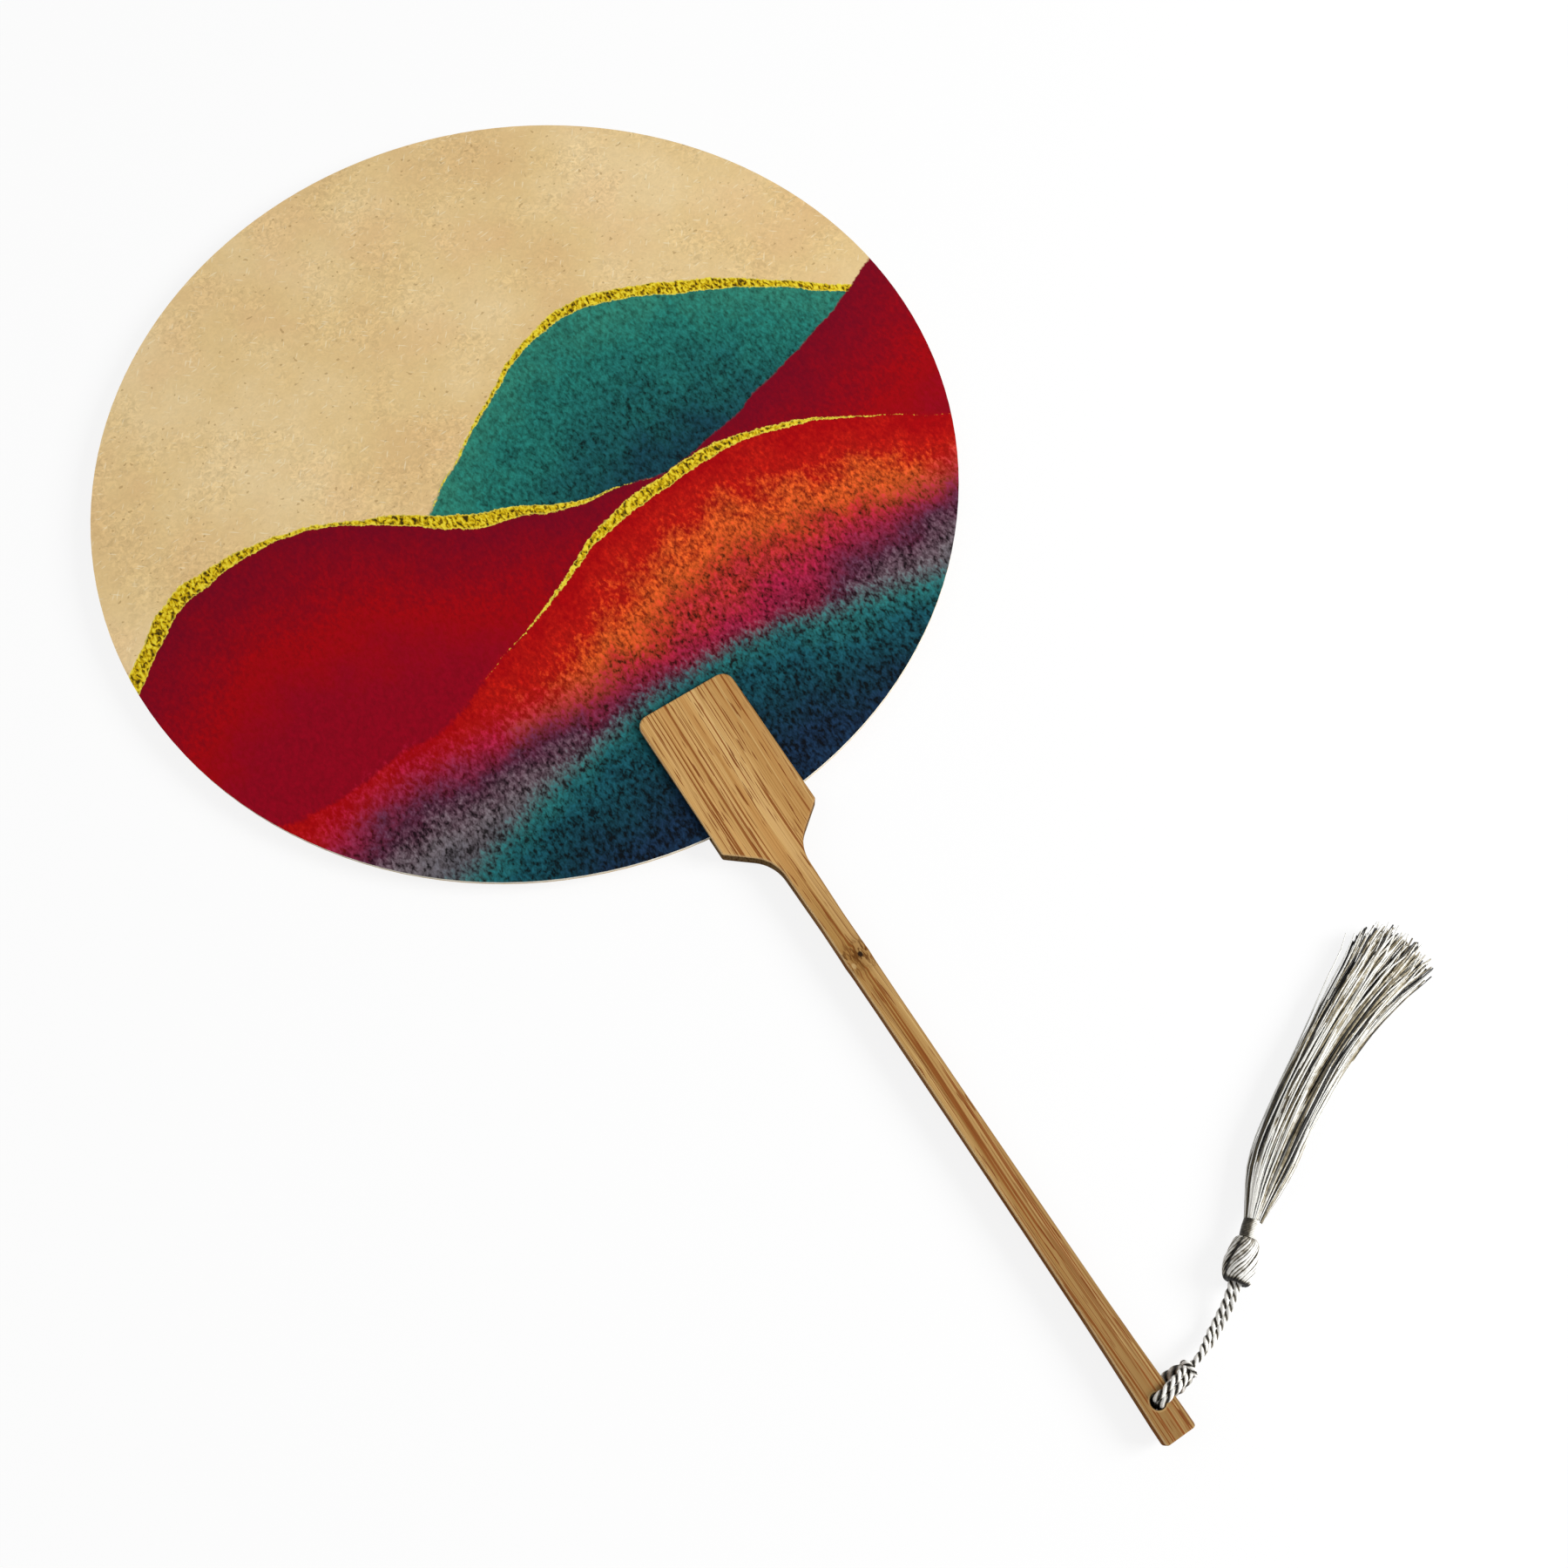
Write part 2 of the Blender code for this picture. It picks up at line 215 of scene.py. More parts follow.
# camera and light
cameraSet = {
    "place": (-0.06721, -0.14457, 0.37755),
    "turn": (20.700, -0.0044, -32.685),  # degrees
    "lens": 38.644,
    "sensor": 36.0,
    "clip": (0.01, 50.0),
}
lightSet = {
    # place, size and power of each soft box
    "lamps": {"keySoftBox": ((0.95, -0.62, 0.72), 0.6, 20.4), "fillSoftBox": ((-0.7, 0.5, 0.9), 0.9, 2.0)},
    "sky": 0.34,
}

cameraData = bpy.data.cameras.new("photoCamera")
cameraData.lens = cameraSet["lens"]
cameraData.sensor_width = cameraSet["sensor"]
cameraData.clip_start, cameraData.clip_end = cameraSet["clip"]
photoCamera = addObject("photoCamera", cameraData)
photoCamera.location = cameraSet["place"]
photoCamera.rotation_euler = [radians(a) for a in cameraSet["turn"]]
bpy.context.scene.camera = photoCamera
bpy.context.scene.view_settings.view_transform = "Standard"

for name, (place, size, power) in lightSet["lamps"].items():
    lampData = bpy.data.lights.new(name, "AREA")
    lampData.shape = "SQUARE"
    lampData.size = size
    lampData.energy = power
    lamp = addObject(name, lampData)
    lamp.location = place
    lamp.rotation_euler = (-Vector(place)).to_track_quat("-Z", "Y").to_euler()


def seenRays(add):
    # 1 for the rays that see the white ground itself, 0 for those that gather light from it
    path = add("LightPath")
    seen = add("Math", (path.outputs["Is Camera Ray"], path.outputs["Is Glossy Ray"]), **highest)
    return add("Math", (seen, path.outputs["Is Transmission Ray"]), **highest)


world = bpy.data.worlds.new("studio")
bpy.context.scene.world = world
world.use_nodes = True
world.node_tree.nodes.clear()
add = partial(addNode, world.node_tree)
skyLight = add("Background", {"Color": "#FFFFFF", "Strength": lightSet["sky"]})
skyWhite = add("Background", {"Color": "#FFFFFF", "Strength": 1.0})
skyMix = add("MixShader", (seenRays(add), skyLight, skyWhite))
add("OutputWorld", {"Surface": skyMix})
print("camera and light placed")

# the cord: two twisted runs from the hitch to the knot
cordSet = {
    "thickness": 1.5 * mm,
    "pitch": 4.4 * mm,  # one full turn of the two plies
    "plyThickness": 1.04 * mm,
    "plyOffset": 0.33 * mm,
    "plySteps": 16,  # to a turn
    "plyPhase": 0.6,
    "pivot": (0.009705, -0.182036, 0.00395),
    "stemStart": 1.6 * mm,  # from the pivot
    "stemLength": 18.3 * mm,
    "headings": (12.0, 37.0),
    "sag": 1.8 * mm,
    "spacing": 1.34 * mm,  # the two runs press into each other
    "sideBySideFrom": 0.5,  # above each other at the wrap, side by side from here on
    "steps": (4, 24, 6),  # within the wrap, along the stem and through the knot
    "lowerShadeLift": 0.30,  # the lower run's painted groove shade is lighter
}
knotSet = {
    "heading": 36.0,
    "length": 9.6 * mm,
    "gap": 1.1 * mm,  # from the stem's end
    "threads": 30,
    "threadThickness": 0.66 * mm,
    "threadSeat": 0.42,  # of its thickness, within the profile
    "threadTurn": 98.0,  # degrees round the knot from end to end
    "threadSteps": 24,
    "sinks": (0.0, 0.0, 0.05, 0.12, 0.25),  # mm by which one thread or another lies deeper
    "lip": ((0.10, 1.15 * mm), (0.035, 1.55 * mm), (0.006, 2.0 * mm)),  # turned in: along, radius
    # painted shade on the turned-in lip
    "lipShades": (0.42, 0.42, 0.46),
    "lipEnds": 0.12,
    "underThreads": 16,
    "underSteps": 14,
    "underDeep": 1.0 * mm,
    "underTurn": 0.7,
    "underThickness": 1.75,  # times the outer threads'
    # the under layer is painted dark, as shade
    "underShade": 0.3,
    "grooveAt": 34.0,  # degrees up from the knot's left side, at its middle
    "grooveHalf": 15.0,
    "grooveTurn": 34.0,  # it runs straighter along the knot than the threads do
    "grooveDeep": 0.26 * mm,
    # painted shade in the groove
    "grooveShade": 0.46,
    # along from the cord's end to the collar, radius
    "profile": ((0.0, 2.30 * mm), (0.03, 2.78 * mm), (0.10, 3.15 * mm), (0.20, 3.44 * mm),
                (0.32, 3.64 * mm), (0.44, 3.66 * mm), (0.56, 3.50 * mm), (0.68, 3.32 * mm),
                (0.80, 3.10 * mm), (0.90, 2.84 * mm), (0.965, 2.50 * mm), (1.0, 2.00 * mm)),
}
cordPivot = Vector(cordSet["pivot"])
knotAxis = heading(knotSet["heading"])
knotAcross = Vector((-knotAxis.y, knotAxis.x, 0))
innerSteps, stemSteps, knotSteps = cordSet["steps"]
stemRoute, stemTurns = bendingRoute(
    cordPivot + cordSet["stemStart"] * heading(cordSet["headings"][0]), cordSet["stemLength"],
    *cordSet["headings"], stemSteps)
knotStart = stemRoute[-1] + knotSet["gap"] * knotAxis


def cordRun(side):
    # from the wrap's middle, along the stem, and on through the knot
    half = side * cordSet["spacing"] / 2
    line = []
    for step in range(innerSteps):
        away = cordSet["stemStart"] * step / innerSteps
        line.append(cordPivot + away * heading(cordSet["headings"][0]) + Vector((0, 0, half)))
    for index, (point, turn) in enumerate(zip(stemRoute, stemTurns)):
        share = index / stemSteps
        stacked = radians(90) * (1 - smoothStep(share / cordSet["sideBySideFrom"]))
        dip = cordSet["sag"] * sin(pi * share) ** 2
        aside = half * cos(stacked)
        line.append(point + Vector((-aside * sin(turn), aside * cos(turn), half * sin(stacked) - dip)))
    for step in range(1, knotSteps + 1):
        away = (knotSet["gap"] + knotSet["length"]) * step / knotSteps
        line.append(stemRoute[-1] + away * knotAxis + half * knotAcross)
    return line


silkSet = {
    "gleam": 1.0 * mm,  # fine filaments lie unevenly, from one gleam to the next
    "gleamShare": 0.32,
    "stops": (0.70, 0.86, 1.0),
    "gloss": 0.3,
    "cordTones": ("#120E08", "#8C8576", "#F4F3EE"),  # painted shade in the groove, the flank, the lit top
    # the same painted groove shade for the wound thread
    "bindingTones": ("#2A2419", "#8E8675", "#F6F4EC"),
}


def silkFinish(name, tones, roughness):
    # rayon silk thread: bright where it stands out, painted dark shade where it turns down to its neighbours
    finish, shader, add = newFinish(name, tones[-1], roughness, silkSet["gloss"])
    read = add("Attribute", attribute_name="paintedLightShade")
    place = add("TexCoord")
    uneven = add("TexNoise", (place.outputs["Object"], 0.0, 1 / silkSet["gleam"], 2.0))
    stand = add("Math", (uneven, silkSet["gleamShare"], read.outputs["Fac"]), **timesPlus)
    tone = add("ValToRGB", (stand,), list(zip(silkSet["stops"], tones)))
    setInputs(shader, {"Base Color": tone})
    return finish


def markPaintedShade(piece, threads, middles, depth=None, soft=0.0):
    # painted light and shade: 1 on the side of a thread that faces away from what it winds round, 0 on its
    # inner side, painted as shade; depth(number, share) is below 1 for a thread, or a stretch of it, painted
    # darker as it lies deep among its neighbours, and soft is above 0 where the painted groove shade is
    # lighter
    tree = KDTree(sum(len(thread) for thread in threads))
    outward = []
    for number, (thread, middle) in enumerate(zip(threads, middles)):
        for at, (point, centre) in enumerate(zip(thread, middle)):
            tree.insert(point, len(outward))
            outward.append(
                ((point - centre).normalized(), depth(number, at / (len(thread) - 1)) if depth else 1.0))
    tree.balance()
    layer = piece.data.attributes.new("paintedLightShade", "FLOAT", "POINT")
    for index, vertex in enumerate(piece.data.vertices):
        point, found, _ = tree.find(vertex.co)
        away, share = outward[found]
        facing = 0.5 + 0.5 * (vertex.co - point).normalized().dot(away)
        layer.data[index].value = share * (soft + (1 - soft) * facing)


def plyMiddles(threads):
    # each ply winds round the middle of the plies at the same place
    count = len(threads)
    middle = [sum((thread[at] for thread in threads), Vector()) / count for at in range(len(threads[0]))]
    return [middle] * count


def axisMiddles(threads, start, axis):
    # the nearest places on a straight axis
    return [[start + (point - start).dot(axis) * axis for point in thread] for thread in threads]


silkCord = silkFinish("rayonSilkCordTwisted", silkSet["cordTones"], 0.36)

runs = {1: cordRun(1), -1: cordRun(-1)}
for side, pieceName, node in ((1, "cordRunUpper", "tassel_cord"), (-1, "cordRunLower", "tassel_cord_return")):
    plies = twistedPlies(
        runs[side], cordSet["pitch"], cordSet["plyOffset"], cordSet["plySteps"], cordSet["plyPhase"])
    run = threadPiece(pieceName, plies, cordSet["plyThickness"], 2)
    markPaintedShade(run, plies, plyMiddles(plies), soft=cordSet["lowerShadeLift"] if side < 0 else 0.0)
    setPiece(run, "cord", silkCord, [node])
print("cord runs twisted")

# the knot: a barrel of wound silk threads that turn in round the cord
chance = random.Random(11)
draw = chance.uniform


def knotSpot(along, radius, angle):
    # along is a share of the knot's length from the cord's end
    outward = knotAcross * cos(angle) + Vector((0, 0, sin(angle)))
    return knotStart + along * knotSet["length"] * knotAxis + radius * outward


def inGroove(angle, along):
    # 1 in the line where the threads part and sink
    groove = knotSet["grooveAt"] + knotSet["grooveTurn"] * (along - 0.5)
    away = abs((degrees(angle) - groove + 180) % 360 - 180)
    return 1 - smoothStep(away / knotSet["grooveHalf"])


knotLines = []
knotSizes = []
knotShades = []
for number in range(knotSet["threads"]):
    begin = 2 * pi * (number + draw(-0.16, 0.16)) / knotSet["threads"]
    sunk = chance.choice(knotSet["sinks"]) * mm
    # sunk threads are painted darker, as shade
    deep = draw(0.90, 1.05) - 0.6 * sunk / mm
    threadShades = [share * deep for share in knotSet["lipShades"]]
    line = [knotSpot(along, radius, begin) for along, radius in knotSet["lip"]]
    for step in range(knotSet["threadSteps"] + 1):
        along = 0.012 + 0.985 * (step / knotSet["threadSteps"]) ** 1.15
        angle = begin + radians(knotSet["threadTurn"]) * (along - 0.02) + 0.03 * sin(9 * along + number)
        groove = inGroove(angle, along)
        radius = between(knotSet["profile"], along)[0] - knotSet["threadThickness"] * knotSet["threadSeat"]
        radius -= sunk * sin(pi * along) + knotSet["grooveDeep"] * groove
        line.append(knotSpot(along, radius, angle))
        # painted shade on the threads where they turn in round the cord
        dim = knotSet["lipShades"][-1]
        lit = dim + (1 - dim) * smoothStep(along / knotSet["lipEnds"])
        threadShades.append(deep * (1 - knotSet["grooveShade"] * groove) * lit)
    knotLines.append(line)
    knotSizes.append(draw(0.86, 1.08))
    knotShades.append(threadShades)
for number in range(knotSet["underThreads"]):
    # a layer wound the other way keeps the gaps closed, painted dark as shade
    begin = 2 * pi * number / knotSet["underThreads"]
    line = []
    for step in range(knotSet["underSteps"] + 1):
        along = 0.05 + 0.92 * step / knotSet["underSteps"]
        line.append(
            knotSpot(along, between(knotSet["profile"], along)[0] - knotSet["underDeep"],
            begin - knotSet["underTurn"] * step / knotSet["underSteps"]))
    knotLines.append(line)
    knotSizes.append(knotSet["underThickness"])
    knotShades.append([knotSet["underShade"]] * len(line))


def knotSwell(number, share):
    # the outer threads are thin where they turn in
    return knotSizes[number] * (0.45 + 0.55 * smoothStep(share * 7) if number < knotSet["threads"] else 1.0)


knot = threadPiece("tasselKnotThreads", knotLines, knotSet["threadThickness"], 2, knotSwell)
markPaintedShade(
    knot, knotLines, axisMiddles(knotLines, knotStart, knotAxis),
    lambda number, share: knotShades[number][round(share * (len(knotShades[number]) - 1))])
setPiece(knot, "cord", silkCord, ["tassel_knot"])

print("knot wound")

# the hitch: doubled cord through the hole and round the stick's edge
hitchSet = {
    "holeCentre": (0.0, -0.1834, 0.00395),
    "slant": 8.0,  # degrees from square across the stick
    "overTop": 3.05 * mm,  # thread's middle over the strip's middle
    "turnRadius": 1.5 * mm,
    "turnSteps": 6,
    "overSteps": 14,
    "leaveEdge": 4.2 * mm,
    "reach": 9.3 * mm,
    "endHigh": 0.75 * mm,
    "pairHalf": 0.74 * mm,
    "underHalf": 1.74 * mm,  # the pair underneath spreads wider
    "underBulge": (2.0 * mm, 7.6 * mm),  # where its bulge starts, and how long it is
    "underTop": 2.96 * mm,
    "underSwell": 1.42,  # and is looser and fuller past the edge
    # painted shade: the pair underneath is darker
    "underShade": 0.82,
    "pitch": 4.7 * mm,
    # the turned-in cord fills the hole behind the strands, painted dark as shade: back, aside
    "fill": ((0.82 * mm, 0.74 * mm), (1.15 * mm, 0.0), (0.84 * mm, -0.70 * mm), (0.36 * mm, -1.10 * mm)),
    "fillShade": 0.25,
    "wrapHigh": 1.55 * mm,
    "wrapWide": 1.62 * mm,
    "wrapLean": 0.3,  # mm
    "wrapSteps": 32,
    "wrapPitch": 3.4 * mm,
    "wrapOffset": 0.28 * mm,
    "wrapThickness": 0.80 * mm,
}
holeCentre = Vector(hitchSet["holeCentre"])
hitchAlong = heading(hitchSet["slant"])
hitchAcross = Vector((-hitchAlong.y, hitchAlong.x, 0))


def hitchSpot(reach, aside, rise):
    return holeCentre + reach * hitchAlong + aside * hitchAcross + Vector((0, 0, rise))


def hitchRun(side, over):
    # one strand from inside the hole, over (or under) the strip's edge, to the wrap
    half = hitchSet["pairHalf"]
    top = hitchSet["overTop" if over > 0 else "underTop"]
    turn = hitchSet["turnRadius"]
    length = hitchSet["reach"] - turn
    line = [
        hitchSpot(0.0, side * half, over * 0.2 * mm), hitchSpot(0.0, side * half, over * (top - turn) * 0.6)]
    for step in range(hitchSet["turnSteps"] + 1):
        angle = radians(180 - 90 * step / hitchSet["turnSteps"])
        line.append(hitchSpot(turn + turn * cos(angle), side * half, over * (top - turn + turn * sin(angle))))
    for step in range(1, hitchSet["overSteps"] + 1):
        reach = turn + length * step / hitchSet["overSteps"]
        past = smoothStep((reach - hitchSet["leaveEdge"]) / (hitchSet["reach"] - hitchSet["leaveEdge"]))
        wide = half
        if over < 0:
            begin, long = hitchSet["underBulge"]
            bulge = sin(pi * min(max((reach - begin) / long, 0), 1)) ** 0.8
            wide = half + (hitchSet["underHalf"] - half) * bulge
        line.append(hitchSpot(reach, side * wide, over * (top - (top - hitchSet["endHigh"]) * past)))
    return line


hitchLines = []
hitchMiddles = []
hitchSwells = []
hitchShades = []
for over in (1, -1):
    for side in (1, -1):
        plies = twistedPlies(
            hitchRun(side, over), hitchSet["pitch"], cordSet["plyOffset"], cordSet["plySteps"],
            1.1 * side + over)
        hitchLines += plies
        hitchMiddles += plyMiddles(plies)
        hitchSwells += [0.0 if over > 0 else hitchSet["underSwell"] - 1.0] * 2
        hitchShades += [1.0 if over > 0 else hitchSet["underShade"]] * 2
for back, aside in hitchSet["fill"]:
    line = [hitchSpot(-back, aside, rise * mm) for rise in (-1.9, -0.6, 0.6)]
    line += [hitchSpot(-0.6 * back, 0.8 * aside, 1.2 * mm), hitchSpot(0.0, 0.6 * aside, 1.5 * mm)]
    hitchLines.append(line)
    hitchMiddles.append([hitchSpot(-2.5 * mm, aside, 0.0)] * len(line))
    hitchSwells.append(0.0)
    hitchShades.append(hitchSet["fillShade"])
hitch = threadPiece(
    "cordHitchTwisted", hitchLines, cordSet["plyThickness"], 2,
    lambda number, share: 1.0 + hitchSwells[number] * smoothStep((share - 0.42) / 0.2))
markPaintedShade(hitch, hitchLines, hitchMiddles, lambda number, share: hitchShades[number])
setPiece(hitch, "fan", silkCord, ["cord_hitch"])

wrapLine = []
for step in range(hitchSet["wrapSteps"] + 1):
    angle = 2 * pi * step / hitchSet["wrapSteps"]
    wrapLine.append(
        cordPivot + Vector((0, 0, hitchSet["wrapHigh"] * sin(angle)))
        + hitchAcross * hitchSet["wrapWide"] * cos(angle)
        + hitchAlong * hitchSet["wrapLean"] * mm * sin(angle))
wrapPlies = twistedPlies(wrapLine, hitchSet["wrapPitch"], hitchSet["wrapOffset"], 14, closed=True)
wrap = threadPiece("cordWrapTwisted", wrapPlies, hitchSet["wrapThickness"], 2)
markPaintedShade(wrap, wrapPlies, plyMiddles(wrapPlies))
setPiece(wrap, "bight", silkCord, ["cord_bight"])
print("hitch tied")

# the collar: fine thread wound round the tassel's neck
collarSet = {
    "pivot": (0.03426, -0.169474, 0.00395),
    "start": 3.05 * mm,  # from the tassel's pivot
    "end": 7.1 * mm,
    "thickness": 0.36 * mm,
    "packing": 0.80,  # of the thickness, from one turn to the next
    "radius": 1.80 * mm,
    "swell": 0.05,
    "turnSteps": 26,
    "shadeUnderSkirt": 0.95,  # past here the thread is painted darker, as shade under the skirt
}
tasselPivot = Vector(collarSet["pivot"])
collarLength = collarSet["end"] - collarSet["start"]
windTurns = collarLength / (collarSet["thickness"] * collarSet["packing"])
windLine = []
windSteps = int(windTurns * collarSet["turnSteps"])
for step in range(windSteps + 1):
    share = step / windSteps
    angle = 2 * pi * windTurns * share
    away = collarSet["start"] + collarLength * share
    radius = collarSet["radius"] * (1 + collarSet["swell"] * sin(pi * share))
    windLine.append(
        tasselPivot + away * knotAxis + radius * (knotAcross * cos(angle) + Vector((0, 0, sin(angle)))))


def windShade(number, share):
    # painted shade on the left, painted light on the right
    right = smoothStep(2 * cos(2 * pi * windTurns * share - 2.8) + 0.2)
    return (0.60 + 0.37 * right) * (0.6 if share > collarSet["shadeUnderSkirt"] else 1.0)


collar = threadPiece("tasselCollarWinding", [windLine], collarSet["thickness"], 1)
markPaintedShade(collar, [windLine], axisMiddles([windLine], tasselPivot, knotAxis), windShade)
silkBinding = silkFinish("rayonSilkThreadWound", silkSet["bindingTones"], 0.30)
setPiece(collar, "tassel", silkBinding, ["tassel_collar"])
print("collar wound")

# the skirt: loose silk strands gathered in locks over ones beneath that are painted darker, as shade
skirtSet = {
    "topLocks": 14,
    "rightLocks": 4,  # more of them keep the right side light
    "risingLocks": 6,  # deep at the collar on the left, and on top further up
    "strandsPerLock": (1, 3),
    "lockHalf": 0.024,  # of the bundle's half width
    "lockTones": ((0.66, 1.05), (0.78, 0.55), (9.0, 0.20)),  # up to this luck, tone
    "middleStrands": 52,  # half sunk between the locks, painted dark as shade
    "underLocks": 12,
    "underStrands": 5,  # in each of them
    "innerStrands": 210,
    "innerReach": 0.78,  # of the bundle's half width and height
    "strays": 14,
    "strayOut": (0.99, 1.14),  # the last stray's place and how far out it may go
    "waves": {"lock": 0.046, "middle": 0.055, "under": 0.03, "stray": 0.05},
    "thickness": 0.40 * mm,
    "innerThickness": 1.35,  # times the outer strands'
    "tipThins": (0.90, 0.22),  # from this share on, by this share
    "stations": 20,
    "routeSteps": 120,
    "start": 6.5 * mm,  # from the tassel's pivot, inside the collar
    "length": 77.5 * mm,
    "headings": (35.6, 11.6),
    "width": 19.6 * mm,
    "flare": 2.2 * mm,  # the left side spreads further at its end
    "flareFrom": 0.80,
    "height": 6.5 * mm,
    "offFloor": 0.15 * mm,
    "settleShare": 0.16,
    "ragged": 0.045,
    "round": (0.115, 0.055),  # how much shorter the left and right sides end
    "curl": 0.055,  # of the half width, at the tips
    "baseDip": 0.50,  # how much duller a lock may be at the collar
    "tipLightTones": (0.56, 1.45),  # painted light: strands are painted lighter towards their tips
    "leftShade": 0.56,  # painted shade on the left side, from the collar to its middle
    "mottle": 1.2 * mm,
    "ramp": ((0.10, "#0E0B06"), (0.42, "#51452A"), (0.66, "#AB9F82"), (0.86, "#F5F4EE")),
    # place along, shares of the width and the height
    "sections": ((0.0, 0.18, 0.52), (0.05, 0.28, 0.70), (0.12, 0.44, 0.86), (0.20, 0.52, 0.96),
                 (0.30, 0.54, 1.0), (0.40, 0.57, 1.0), (0.50, 0.59, 0.99), (0.60, 0.64, 0.96),
                 (0.70, 0.72, 0.92), (0.80, 0.83, 0.86), (0.90, 0.95, 0.78), (1.0, 1.0, 0.68)),
}
chance = random.Random(5)
draw = chance.uniform
skirtRoute, skirtTurns = bendingRoute(
    tasselPivot + skirtSet["start"] * knotAxis, skirtSet["length"], *skirtSet["headings"],
    skirtSet["routeSteps"])


def skirtSpot(place, across, rise):
    # across and rise are shares of the bundle's half width and half height
    index = min(int(place * skirtSet["routeSteps"]), skirtSet["routeSteps"] - 1)
    part = place * skirtSet["routeSteps"] - index
    middle = skirtRoute[index].lerp(skirtRoute[index + 1], part)
    turn = skirtTurns[index] + (skirtTurns[index + 1] - skirtTurns[index]) * part
    wide, high = between(skirtSet["sections"], place)
    halfHigh = skirtSet["height"] * high / 2
    settled = smoothStep(place / skirtSet["settleShare"])
    lie = (halfHigh + skirtSet["offFloor"] - middle.z) * settled
    halfWide = skirtSet["width"] * wide / 2
    if across > 0:
        halfWide += skirtSet["flare"] * smoothStep((place - skirtSet["flareFrom"]) / 0.2)
    side = Vector((-sin(turn), cos(turn), 0)) * halfWide
    return middle + Vector((0, 0, lie + rise * halfHigh)) + side * across


def skirtStrand(across, rise, drift, wave, waves, phase, end, fray=0.0, lock=(0.0, 0.0), reach=1.0):
    # a strand keeps its place in the bundle, weaves over and under its neighbours, and closes up
    # with its lock towards the tip, where it curls a little
    line = []
    for step in range(skirtSet["stations"]):
        place = end * step / (skirtSet["stations"] - 1)
        near = fray * smoothStep((place / end - 0.45) / 0.5)
        size = skirtSet["waves"][wave] * smoothStep(place * 3) * (1 + 0.8 * smoothStep((place - 0.8) / 0.2))
        curl = skirtSet["curl"] * smoothStep((place - 0.70) / 0.25) * sin(5 * phase + 21 * place)
        u = across + (lock[0] - across) * near + drift[0] * smoothStep(place)
        u = u + size * sin(phase + waves * place) + curl
        v = rise + (lock[1] - rise) * near + drift[1] * smoothStep(place)
        v += 1.6 * size * cos(phase + 1.7 * waves * place)
        away = hypot(u, v)
        if away > reach:
            u, v = u * reach / away, v * reach / away
        line.append(skirtSpot(place, u, v))
    return line


def endAt(across):
    short = skirtSet["round"][0 if across > 0 else 1] * abs(across) ** 2
    return 1.0 - short - skirtSet["ragged"] * chance.random() ** 1.6


def anyTurn(low, high):
    # how fast a strand waves, and where it starts
    return 2 * pi * draw(low, high), draw(0, 2 * pi)


def leftShadeShare(across):
    # how far a strand gets the painted shade of the tassel's left side; its outermost strands stay bright
    return smoothStep((across + 0.10) / 0.45) * (1 - smoothStep((across - 0.84) / 0.08))


# how far a strand is painted lighter on the tassel's right side
def rightLightShare(across):
    return smoothStep((-across - 0.05) / 0.40)


def evenly(first, last, count):
    return [first + (last - first) * (number + 0.5) / count for number in range(count)]


strandLines = []
strandLooks = []  # size, tone, dip at the base, share in the painted left shade, painted lighter tone at the tip
tipDraw = random.Random(23).uniform


def addStrand(line, tone, size, dip=0.0, left=0.0):
    strandLines.append(line)
    strandLooks.append((size, tone, dip, left, tipDraw(*skirtSet["tipLightTones"])))


lockPlaces = [
    -0.97 + 1.94 * (number + 0.5 + draw(-0.3, 0.3)) / skirtSet["topLocks"]
    for number in range(skirtSet["topLocks"])]
lockPlaces += evenly(-0.97, 0.0, skirtSet["rightLocks"]) + evenly(0.16, 0.86, skirtSet["risingLocks"])
for number, across in enumerate(lockPlaces):
    rising = number >= len(lockPlaces) - skirtSet["risingLocks"]
    rise = sqrt(1 - across * across) * (0.50 if rising else draw(0.86, 0.99))
    # painted shade and light: locks on the left get darker tones, those on the right lighter ones
    luck = chance.random() * (1 - 0.2 * rightLightShare(across)) + 0.35 * leftShadeShare(across)
    lockTone = next(tone for most, tone in skirtSet["lockTones"] if luck < most)
    drift = (draw(-0.11, 0.11), draw(0.42, 0.56) if rising else draw(-0.10, 0.05))
    waves, phase = anyTurn(0.6, 1.5)
    half = skirtSet["lockHalf"] * draw(0.6, 1.25)
    count = chance.randint(*skirtSet["strandsPerLock"])
    dip = skirtSet["baseDip"] * chance.choice((0.0, 0.0, 0.6, 1.0))
    for strand in range(count):
        aside = half * (-1 + 2 * (strand + 0.5) / count)
        line = skirtStrand(
            across + aside, rise - 0.9 * abs(aside) + draw(-0.05, 0.03),
            (drift[0] + draw(-0.04, 0.04), drift[1]), "lock", waves + draw(-0.6, 0.6),
            phase + draw(-0.35, 0.35), endAt(across), 0.6, (across, rise))
        addStrand(line, lockTone + draw(-0.16, 0.08), draw(0.9, 1.2), dip, leftShadeShare(across))
for number in range(skirtSet["middleStrands"]):
    across = draw(-0.95, 0.95)
    rise = sqrt(1 - across * across) * draw(0.72, 0.92)
    line = skirtStrand(
        across, rise, (draw(-0.26, 0.26), draw(-0.02, 0.14)), "middle", *anyTurn(0.7, 2.0), endAt(across))
    # painted shade: the half sunk strands are dark, less so on the right
    tone = draw(0.04, 0.44) + 0.34 * rightLightShare(across)
    addStrand(line, tone, draw(0.8, 1.05), 0.2, leftShadeShare(across))
